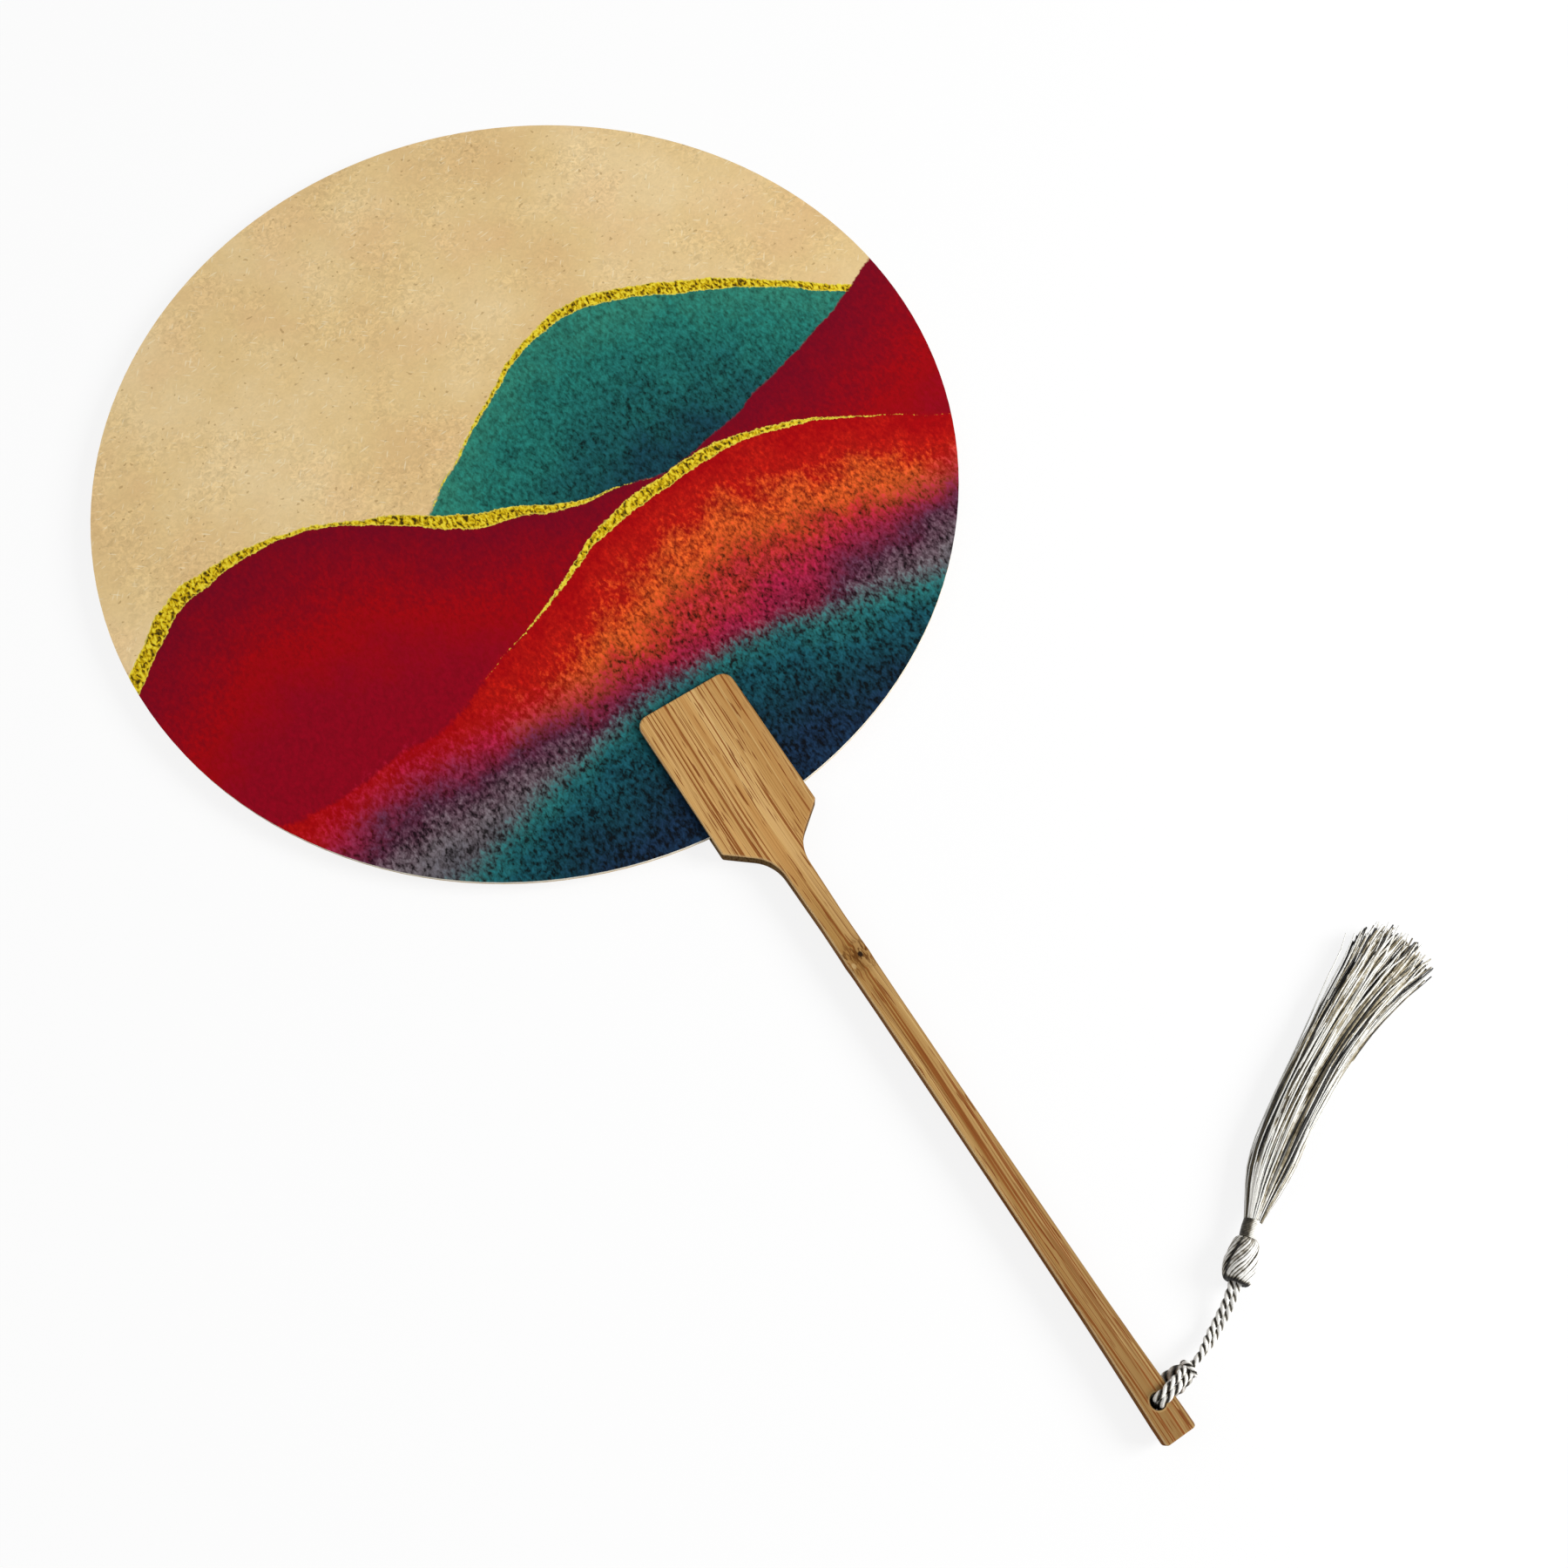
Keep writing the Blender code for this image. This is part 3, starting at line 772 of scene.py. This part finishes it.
for across in evenly(-0.9, 0.9, skirtSet["underLocks"]):
    for strand in range(skirtSet["underStrands"]):
        line = skirtStrand(
            across + 0.03 * (strand - 2), -0.92 * sqrt(1 - across * across), (draw(-0.12, 0.12), 0.0),
            "under", *anyTurn(0.6, 1.4), endAt(across))
        addStrand(line, draw(0.45, 1.0), draw(0.85, 1.1))
for number in range(skirtSet["innerStrands"]):
    # spread evenly over the bundle's section
    radius = skirtSet["innerReach"] * sqrt((number + 0.5) / skirtSet["innerStrands"])
    angle = number * pi * (3 - sqrt(5))
    u, v = radius * cos(angle), radius * sin(angle)
    line = skirtStrand(
        u, v, (draw(-0.08, 0.08), draw(-0.1, 0.1)), "under", *anyTurn(0.5, 1.2), endAt(u) - 0.02)
    # painted shade: the inner strands are near black, less so on the right
    addStrand(line, draw(0.0, 0.14) + 0.26 * rightLightShare(u), skirtSet["innerThickness"])
for number in range(skirtSet["strays"]):
    # single bright strands that strayed over the bundle, the last one out past its left side
    last = number == skirtSet["strays"] - 1
    u, reach = skirtSet["strayOut"] if last else (draw(-0.9, 0.95), 1.0)
    drift = 0.12 if last else draw(-0.40, 0.40)
    line = skirtStrand(
        u, sqrt(1 - u * u) * 0.99, (drift, 0.0), "stray", *anyTurn(0.5, 1.5), endAt(u), reach=reach)
    addStrand(line, 1.0, 0.8)


def strandSwell(number, share):
    thinFrom, thinner = skirtSet["tipThins"]
    return strandLooks[number][0] * (1.0 - thinner * smoothStep((share - thinFrom) / 0.10))


skirt = threadPiece("tasselSkirtStrands", strandLines, skirtSet["thickness"], 0, strandSwell)
perStrand = len(skirt.data.vertices) // len(strandLines)
toneLayer = skirt.data.attributes.new("strandToneAndShade", "FLOAT", "POINT")
for index in range(len(skirt.data.vertices)):
    strand = min(index // perStrand, len(strandLooks) - 1)
    size, tone, dip, left, tip = strandLooks[strand]
    share = (index - strand * perStrand) / perStrand
    # painted shade at the base and on the left, painted light towards the tips
    shaded = smoothStep((share - 0.05) / 0.12) * (1 - smoothStep((share - 0.46) / 0.22))
    tone -= dip * (1 - smoothStep((share - 0.03) / 0.22))
    tone -= skirtSet["leftShade"] * left * shaded
    toneLayer.data[index].value = tone + 0.8 * (tip - tone) * smoothStep((share - 0.48) / 0.38)
# loose rayon filaments: silvery on top, with painted shade in the deep gaps, and a mottle where they are half
# sunk
silkStrand, strandShader, add = newFinish("rayonSilkStrandLoose", "#EDEBE2", 0.36, silkSet["gloss"])
strandRead = add("Attribute", attribute_name="strandToneAndShade")
strandPlace = add("TexCoord")
strandMottle = add("TexNoise", (strandPlace.outputs["Object"], 0.0, 1 / skirtSet["mottle"], 2.0))
strandStand = add("Math", (strandMottle, 0.5, strandRead.outputs["Fac"]), **timesPlus)
strandStand = add("Math", (strandStand, 0.25), **minus)
strandColour = add("ValToRGB", (strandStand,), skirtSet["ramp"])
setInputs(strandShader, {"Base Color": strandColour})
setPiece(skirt, "tassel", silkStrand, ["tassel_skirt"])
print("skirt of", len(strandLines), "strands, vertices each", perStrand)

# the leaf: printed kraft sheet, white board, plain kraft sheet
leafSet = {
    "centre": (0.0, 0.0815),
    "radius": 109.97 * mm,
    "sides": 256,
    "board": (3.39 * mm, 4.51 * mm),  # low, high
    "cutEdge": 0.12 * mm,  # the die's soft edge
    "cutSegments": 3,
    "cutAngle": 60,  # degrees from which an edge is cut soft
    "smoothAngle": 40,
    "layers": (3 * mm, 3 * mm, 0.2 * mm),
    "layerTones": ((0.32, "#CFC7B4"), (0.52, "#E6E0D0"), (0.7, "#F2EFE6")),
}
boardLow, boardHigh = leafSet["board"]
bpy.ops.mesh.primitive_cylinder_add(
    vertices=leafSet["sides"], radius=leafSet["radius"], depth=boardHigh - boardLow,
    location=(*leafSet["centre"], (boardHigh + boardLow) / 2))
board = bpy.context.object
board.name = "leafBoardEdge"
bpy.ops.object.transform_apply(location=True, rotation=True, scale=True)
softEdge = board.modifiers.new("dieEdge", "BEVEL")
softEdge.width = leafSet["cutEdge"]
softEdge.segments = leafSet["cutSegments"]
softEdge.limit_method = "ANGLE"
softEdge.angle_limit = radians(leafSet["cutAngle"])
bpy.ops.object.modifier_apply(modifier="dieEdge")
bpy.ops.object.shade_smooth_by_angle(angle=radians(leafSet["smoothAngle"]))
# white-lined greyboard, die cut: matt, its layers show as faint lines round the edge
boardCard, cardShader, add = newFinish("greyboardWhiteLinedCut", "#EFEBE0", 0.8)
cardPlace = add("TexCoord")
cardLayers = add(
    "Mapping", {"Vector": cardPlace.outputs["Object"], "Scale": [1 / size for size in leafSet["layers"]]})
cardFibre = add("TexNoise", (cardLayers, 0.0, 1.0, 3.0))
cardTone = add("ValToRGB", (cardFibre,), leafSet["layerTones"])
setInputs(cardShader, {"Base Color": cardTone})
setPiece(board, "fan", boardCard, ["leaf_board"])

kraftSet = {
    "face": ("#DBB983", "#E0C28B", "#E6CB99", "#E2BC8A"),  # dark, middle and pale patches, warm places
    "back": ("#CCA973", "#D3B37F", "#DBC090", "#D6AD7C"),
    "stops": (0.37, 0.50, 0.64),
    # size, detail, roughness and distortion of each noise
    "noises": {
        "patch": (46 * mm, 3.0, 0.55, 0.0),
        "warm": (27 * mm, 2.0, 0.5, 0.0),
        "busy": (15 * mm, 2.0, 0.5, 0.0),
        "worm": (1.5 * mm, 3.0, 0.6, 1.2),
        "speck": (1.1 * mm, 0.0, 0.5, 0.0),
    },
    "mottle": (0.055, 0.18),  # how far the worms darken and lighten where it is calm and busy
    "fibres": ((35, 1.0), (-52, 7.0), (80, 13.0)),  # degrees, seed
    "fibreScale": (1 / (0.55 * mm), 1 / (3.6 * mm), 1.0),
    "fibreTone": "#F4E8C6",
    "speckTone": "#8E6C3C",
    "gloss": 0.1,
}


def layKraft(add, place, tones):
    # soft patches, a worm-like mottle that comes and goes, pale fibres and dark specks
    noise = {}
    for name, (size, detail, roughness, distortion) in kraftSet["noises"].items():
        noise[name] = add("TexNoise", {0: place, 2: 1 / size, 3: detail, 4: roughness, 8: distortion})
    colour = add("ValToRGB", (noise["patch"],), list(zip(kraftSet["stops"], tones)))
    warm = add("MapRange", (noise["warm"], 0.50, 0.66, 0.0, 0.35), **smoothly)
    colour = add("Mix", {0: warm, 6: colour, 7: tones[3]}, **inColour).outputs[2]
    deep = add("MapRange", (noise["busy"], 0.44, 0.62, *kraftSet["mottle"]), **smoothly)
    worm = add("MapRange", (noise["worm"], 0.3, 0.7, -1.0, 1.0))
    factor = add("Math", (worm, deep, 1.0), **timesPlus)
    colour = add("VectorMath", {0: colour, 3: factor}, operation="SCALE")
    layers = []
    for turn, seed in kraftSet["fibres"]:
        turned = add("Mapping", {"Vector": place, "Rotation": (0, 0, radians(turn))})
        drawn = add("Mapping", (turned, (seed, seed, 0), (0, 0, 0), kraftSet["fibreScale"]))
        fibre = add("TexNoise", (drawn, 0.0, 1.0, 0.0))
        layers.append((add("MapRange", (fibre, 0.735, 0.82, 0.0, 0.42)), kraftSet["fibreTone"]))
    speck = add("MapRange", (noise["speck"], 0.225, 0.18, 0.0, 0.45))
    for share, tint in layers + [(speck, kraftSet["speckTone"])]:
        colour = add("Mix", {0: share, 6: colour, 7: tint}, **inColour).outputs[2]
    return colour


# the picture side: layered hills in watercolour over bare kraft, with gold along three ridges
printSet = {
    "low": (-0.110, -0.0285),  # the leaf's left and lower edges
    "span": 0.220,
    # the ridges wander and are rough: size, detail and roughness of the noise, and its reach in spans
    "wander": ((26 * mm, 2.0, 0.5, 0.0175), (1.3 * mm, 4.0, 0.65, 0.003)),
    "cloud": 9 * mm,
    "pigment": 0.85 * mm,  # grains and clots of ink, drawn about as coarse as they show
    "slant": (-35, 0.62),  # degrees, and the noise's scale along it, which draws the clots longer
    "flake": (-40, 0.85 * mm, 1.4 * mm),  # the gold's flakes: degrees, width, length
    "flakeTones": ((0.34, "#3A2C04"), (0.42, "#8F7208"), (0.51, "#D0AE08"), (0.64, "#EBD73A")),
    "rimTone": "#E9DA55",
    # back to front: ridge points across and up as shares of the leaf, softness, tones down the slope,
    # how far the clots darken and lighten them near the ridge and down the slope, and the half width
    # of the gold laid along the ridge
    "hills": [
        {"ridge": ((0, 0.44), (0.16, 0.42), (0.34, 0.49), (0.5, 0.6), (0.64, 0.665), (0.8, 0.61), (1, 0.47)),
         "soft": 0.003, "slope": 0.24, "clots": (0.55, 0.95),
         "tones": ((0, "#2F7A68"), (0.3, "#1E6A60"), (0.65, "#15504F"), (1, "#0F3540")),
         "gold": ((0, 0), (0.3, 0), (0.45, 0.003), (0.62, 0.007), (0.78, 0.012), (0.9, 0.008), (1, 0.01))},
        {"ridge": ((0, 0.5), (0.13, 0.575), (0.27, 0.56), (0.44, 0.465), (0.62, 0.415), (0.8, 0.45),
                   (1, 0.53)),
         "soft": 0.0016, "slope": 0.22, "clots": (0.1, 0.16),
         "tones": ((0, "#74001A"), (0.3, "#840014"), (0.65, "#9A0008"), (1, "#8A0018")),
         "gold": ((0, 0.016), (0.12, 0.011), (0.26, 0.004), (0.4, 0.012), (0.54, 0.004), (0.64, 0), (1, 0))},
        {"ridge": ((0, 0.27), (0.18, 0.255), (0.37, 0.305), (0.55, 0.385), (0.7, 0.405), (0.86, 0.35),
                   (1, 0.26)),
         "soft": 0.004, "slope": 0.2, "clots": (0.14, 1),
         "tones": ((0, "#A30006"), (0.28, "#B2160A"), (0.52, "#C4501C"), (0.72, "#A52A1E"), (1, "#8E1636")),
         "gold": ((0, 0), (0.3, 0), (0.42, 0.0025), (0.62, 0.01), (0.78, 0.005), (0.9, 0.0015), (1, 0.001))},
        {"ridge": ((0, 0.19), (0.2, 0.235), (0.38, 0.225), (0.58, 0.205), (0.78, 0.225), (1, 0.24)),
         "soft": 0.03, "slope": 0.12, "clots": (1, 1.15),
         "tones": ((0, "#8E1636"), (0.35, "#4E2338"), (0.7, "#5C5358"), (1, "#4A4A50"))},
        {"ridge": ((0, 0.08), (0.2, 0.105), (0.42, 0.165), (0.62, 0.175), (0.8, 0.135), (1, 0.08)),
         "soft": 0.02, "slope": 0.13, "clots": (1.2, 1.4),
         "tones": ((0, "#215F5D"), (0.35, "#10414A"), (0.7, "#0C2B38"), (1, "#0F2237"))},
    ],
}
# uncoated kraft paper, printed in matt ink: almost no gloss
printed, printShader, add = newFinish("kraftPaperMattPrinted", "#DABC88", 0.9, kraftSet["gloss"])
pPlace = add("TexCoord").outputs["Object"]
pXyz = add("SeparateXYZ", (pPlace,))
across, up = (
    add("MapRange", (pXyz.outputs[axis], low, low + printSet["span"]))
    for axis, low in enumerate(printSet["low"]))
for size, detail, roughness, reach in printSet["wander"]:
    noise = add("TexNoise", (pPlace, 0.0, 1 / size, detail, roughness))
    up = add("Math", (up, add("MapRange", (noise, 0.0, 1.0, -reach, reach))), **plus)
cloud = add("TexNoise", (pPlace, 0.0, 1 / printSet["cloud"], 4.0, 0.6))
cloud = add("Math", (cloud, 0.5), **minus)
slant, squeeze = printSet["slant"]
pSlant = add("Mapping", (pPlace, (0, 0, 0), (0, 0, radians(slant)), (1.0, squeeze, 1.0)))
pClot = add("TexNoise", {0: pSlant, 2: 1 / printSet["pigment"], 3: 3.0, 4: 0.55, 8: 0.25})
clot = add("MapRange", (pClot, 0.30, 0.70, -1.0, 1.0))

# gold powder: bright flakes with dark pits and a paler rim
turn, wide, long = printSet["flake"]
pFlake = add("Mapping", (pPlace, (0, 0, 0), (0, 0, radians(turn)), (1 / wide, 1 / long, 1.0)))
pGold = add("TexNoise", {0: pFlake, 2: 1.0, 3: 1.5, 8: 0.6})
goldTone = add("ValToRGB", (pGold,), printSet["flakeTones"])

colour = layKraft(add, pPlace, kraftSet["face"])
for hill in printSet["hills"]:
    ridge = add("FloatCurve", {"Value": across}, hill["ridge"])
    depth = add("Math", (ridge, up), **minus)
    ragged = add("Math", (clot, hill["soft"] * 0.55, depth), **timesPlus)
    mask = add("MapRange", (ragged, -hill["soft"], hill["soft"]), **smoothly)
    down = add("Math", (depth, 1 / hill["slope"]), **times)
    down = add("Math", (cloud, 0.55, down), **timesPlus)
    down = add("Math", (clot, 0.10, down), **timesPlus)
    tone = add("ValToRGB", (down,), hill["tones"])
    strength = add("MapRange", (down, 0.1, 0.6, *hill["clots"]))
    factor = add("Math", (clot, strength, 1.0), **timesPlus)
    factor = add("Math", (factor, 0.10), **highest)
    layers = [(mask, add("VectorMath", {0: tone, 3: factor}, operation="SCALE"))]
    if "gold" in hill:
        width = add("FloatCurve", {"Value": across}, hill["gold"])
        gap = add("Math", (add("Math", (depth,), operation="ABSOLUTE"), 0.0013), **plus)
        inside = add("Math", (width, gap), **minus)
        inside = add("Math", (clot, 0.0010, inside), **timesPlus)
        rim = add("MapRange", (inside, 0.0022, 0.0010, 0.0, 0.6))
        rimmed = add("Mix", {0: rim, 6: goldTone, 7: printSet["rimTone"]}, **inColour)
        layers.append((add("MapRange", (inside, -0.0003, 0.0006)), rimmed.outputs[2]))
    for share, tint in layers:
        colour = add("Mix", {0: share, 6: colour, 7: tint}, **inColour).outputs[2]
pBump = add("Bump", {"Height": pClot, "Strength": 0.3, "Distance": 0.05 * mm})
setInputs(printShader, {"Base Color": colour, "Normal": pBump})
dressNode("leaf_face_sheet", printed)

plain, plainShader, add = newFinish("kraftPaperMattPlain", "#D5B581", 0.92, kraftSet["gloss"])
kPlace = add("TexCoord").outputs["Object"]
kFibre = add("TexNoise", (kPlace, 0.0, 1 / (1.0 * mm), 3.0))
kBump = add("Bump", {"Height": kFibre, "Strength": 0.25, "Distance": 0.05 * mm})
setInputs(plainShader, {"Base Color": layKraft(add, kPlace, kraftSet["back"]), "Normal": kBump})
dressNode("leaf_back_sheet", plain)
print("leaf printed")

# the handle: planed bamboo
bambooSet = {
    "headTones": ("#C29155", "#CA9F62", "#CFA66B"),
    "stickTones": ("#A98149", "#BA945D", "#C49E67"),
    "stops": (0.36, 0.5, 0.64),
    "stickEnds": (-36 * mm, -64 * mm),  # from here to here the head's tones turn into the stick's
    # size, detail and reach of the bends: slow ones, and where the fibres swerve at the joint
    "bends": ((70 * mm, 0.0, 1.8 * mm), (3.2 * mm, 1.0, 2.2 * mm)),
    "butt": (-110 * mm, -185 * mm, 0.0, 0.62),
    "buttTone": "#7B5A30",
    "right": (2.5 * mm, 9 * mm, 0.0, 0.45),  # the strip's right side is browner
    "rightTone": "#A27037",
    "topFace": 6.2 * mm,
    "nodeAt": -70.7 * mm,  # where the cane's joint crosses the stick
    "nodeTones": ("#7B5122", "#5E3710"),  # brown all over, and in flecks
    "fleckScale": (1 / (0.6 * mm), 1 / (2.2 * mm), 1 / (2 * mm)),
    # a pale scar and a dark pore at the joint: place, size, how much it is squeezed along, strength
    "marks": (((-1.9 * mm, -72.2 * mm), 0.55 * mm, 0.6, 0.40, "#E0C48E"),
              ((0.9 * mm, -70.6 * mm), 0.72 * mm, 0.80, 0.97, "#1E0C03")),
    "hole": (0.0, -183.4 * mm),
    "holeTones": ("#DDBD82", "#1D1107"),  # lip, and the bore's painted shade
    # drawn-out noises: width, length and depth of a streak, detail, seed
    "grains": {
        "broad": (4.5 * mm, 140 * mm, 8 * mm, 2.0, 3.0),
        "fine": (0.32 * mm, 60 * mm, 1.5 * mm, 2.0, 11.0),
        "bundle": (0.50 * mm, 70 * mm, 2.5 * mm, 1.0, 29.0),
        "short": (0.42 * mm, 11 * mm, 2.0 * mm, 1.0, 61.0),
        "light": (0.50 * mm, 48 * mm, 2.5 * mm, 1.0, 47.0),
        "stick": (0.50 * mm, 60 * mm, 3.0 * mm, 1.0, 83.0),
    },
    # laid over each other: grain, from, to, strength, colour
    "streaks": (("fine", 0.48, 0.64, 0.44, "#94652C"), ("light", 0.615, 0.695, 0.36, "#E2C283"),
                ("bundle", 0.580, 0.622, 0.88, "#84481A"), ("short", 0.625, 0.668, 0.88, "#763C14"),
                ("stick", 0.580, 0.622, 0.66, "#7A481C")),  # on the stick alone
    "sideTones": ("#32240C", "#6A3C08"),  # sides of head and stick, below the top face
    # painted highlight on the edge's rounding on the left, painted shade on it on the right
    "edges": ((-0.15, -0.40, 0.60, "#E4C38E"), (0.15, 0.40, 0.60, "#6B4A20")),
}
# planed and sealed bamboo strip: satin, with dark fibre bundles 0.2 to 0.4 mm wide that run far along it
bamboo, bambooShader, add = newFinish("bambooPlanedSealed", "#B98C4F", 0.45, 0.08)
bCoordinates = add("TexCoord").outputs
bPlace = bCoordinates["Object"]
bXyz = add("SeparateXYZ", (bPlace,)).outputs
nodeGap = add("Math", (bXyz[1], bambooSet["nodeAt"]), **minus)
nodeGap = add("Math", (nodeGap,), operation="ABSOLUTE")
nodeNear = add("MapRange", (nodeGap, 0.3 * mm, 6.0 * mm, 1.0, 0.0), **smoothly)
slow, swerve = (
    add("MapRange", (add("TexNoise", (bPlace, 0.0, 1 / size, detail)), 0.0, 1.0, -reach, reach))
    for size, detail, reach in bambooSet["bends"])
bend = add("Math", (slow, add("Math", (swerve, nodeNear), **times)), **plus)
bentX = add("Math", (bXyz[0], bend), **plus)
bentPlace = add("CombineXYZ", (bentX, bXyz[1], bXyz[2]))
grains = {}
for name, (wide, long, deep, detail, seed) in bambooSet["grains"].items():
    drawn = add("Mapping", (bentPlace, (seed, seed * 0.7, 0), (0, 0, 0), (1 / wide, 1 / long, 1 / deep)))
    grains[name] = add("TexNoise", (drawn, 0.0, 1.0, detail, 0.5))
headTone, stickTone = (
    add("ValToRGB", (grains["broad"],), list(zip(bambooSet["stops"], tones)))
    for tones in (bambooSet["headTones"], bambooSet["stickTones"]))
onStick = add("MapRange", (bXyz[1], *bambooSet["stickEnds"]), **smoothly)
wood = add("Mix", {0: onStick, 6: headTone, 7: stickTone}, **inColour).outputs[2]
# the layers laid over the wood, each with its share
layers = [
    (add("MapRange", (bXyz[1], *bambooSet["butt"])), bambooSet["buttTone"]),
    (add("MapRange", (bentX, *bambooSet["right"]), **smoothly), bambooSet["rightTone"])]
for name, low, high, strength, tint in bambooSet["streaks"]:
    streak = add("MapRange", (grains[name], low, high, 0.0, strength), **smoothly)
    layers.append((add("Math", (streak, onStick), **times) if name == "stick" else streak, tint))
# the joint: broken brown flecks across the stick, a pale scar and a dark pore
fleckPlace = add("Mapping", {"Vector": bPlace, "Scale": bambooSet["fleckScale"]})
fleck = add("TexNoise", {0: fleckPlace, 2: 1.0, 3: 2.0, 8: 0.9})
flecks = add("MapRange", (fleck, 0.46, 0.58, 0.0, 0.88), **smoothly)
atNode = add("MapRange", (nodeGap, 0.8 * mm, 5.5 * mm, 1.0, 0.0), **smoothly)
brown, fleckTone = bambooSet["nodeTones"]
layers += [
    (add("Math", (nodeNear, 0.38), **times), brown), (add("Math", (flecks, atNode), **times), fleckTone)]
for centre, size, squeeze, strength, tint in bambooSet["marks"]:
    offset = add("VectorMath", (bPlace, (*centre, bambooSet["topFace"])), **minus)
    squeezed = add("VectorMath", (offset, (1.0, squeeze, 0.2)), **times)
    away = add("VectorMath", (squeezed,), operation="LENGTH").outputs["Value"]
    layers.append((add("MapRange", (away, size * 0.55, size, strength, 0.0), **smoothly), tint))
bFacing = add("SeparateXYZ", (bCoordinates["Normal"],)).outputs
rounding = add("MapRange", (bFacing[2], 0.15, 0.35))
for low, high, strength, tint in bambooSet["edges"]:
    aside = add("MapRange", (bFacing[0], low, high, 0.0, strength))
    layers.append((add("Math", (aside, rounding), **times), tint))
# the sides are much darker from just below the top face, and the drilled hole's bore is painted dark as shade
# inside its pale lip
side = add(
    "MapRange", (bXyz[2], bambooSet["topFace"] - 0.30 * mm, bambooSet["topFace"] - 0.55 * mm, 0.0, 0.82),
    **smoothly)
underside = add("Math", (bXyz[2], 1.9 * mm), operation="GREATER_THAN")
headSide, stickSide = bambooSet["sideTones"]
sawn = add("Mix", {0: onStick, 6: headSide, 7: stickSide}, **inColour)
holeFlat = add("VectorMath", (bPlace, (1.0, 1.0, 0.0)), **times)
holeAway = add("VectorMath", (holeFlat, (*bambooSet["hole"], 0.0)), operation="DISTANCE").outputs["Value"]
lip = add("MapRange", (holeAway, 2.3 * mm, 1.95 * mm, 0.0, 0.35), **smoothly)
boreShade = add("MapRange", (holeAway, 1.95 * mm, 1.72 * mm, 0.0, 0.95))
layers += [
    (add("Math", (side, underside), **times), sawn.outputs[2]), *zip((lip, boreShade), bambooSet["holeTones"])]
for share, tint in layers:
    wood = add("Mix", {0: share, 6: wood, 7: tint}, **inColour).outputs[2]
bGloss = add("MapRange", (grains["bundle"], 0.45, 0.65, 0.40, 0.60))
# sawn fibres are rougher than planed ones
bRough = add("Math", (side, 0.55, bGloss), use_clamp=True, **timesPlus)
bHeight = add("Math", (grains["bundle"], -0.9, grains["fine"]), **timesPlus)
bBump = add("Bump", {"Height": bHeight, "Strength": 0.6, "Distance": 0.08 * mm})
setInputs(bambooShader, {"Base Color": wood, "Roughness": bRough, "Normal": bBump})
dressNode("handle", bamboo)
print("bamboo planed")

# floor: pale, nearly white to the camera, and it keeps a faint shadow
floorSet = {"size": 40, "height": -0.2 * mm, "white": 0.85}
bpy.ops.mesh.primitive_plane_add(size=floorSet["size"], location=(0, 0, floorSet["height"]))
floor = bpy.context.object
floor.name = "floor"
floorFinish, floorShader, add = newFinish("paleFloor", "#F6F6F6", 0.9, 0.1)
fShare = add("Math", (seenRays(add), floorSet["white"]), **times)
fWhite = add("Emission", {"Color": "#FFFFFF", "Strength": 1.0})
fMix = add("MixShader", (fShare, floorShader, fWhite))
setInputs(floorFinish.node_tree.nodes["Material Output"], {"Surface": fMix})
floor.data.materials.append(floorFinish)
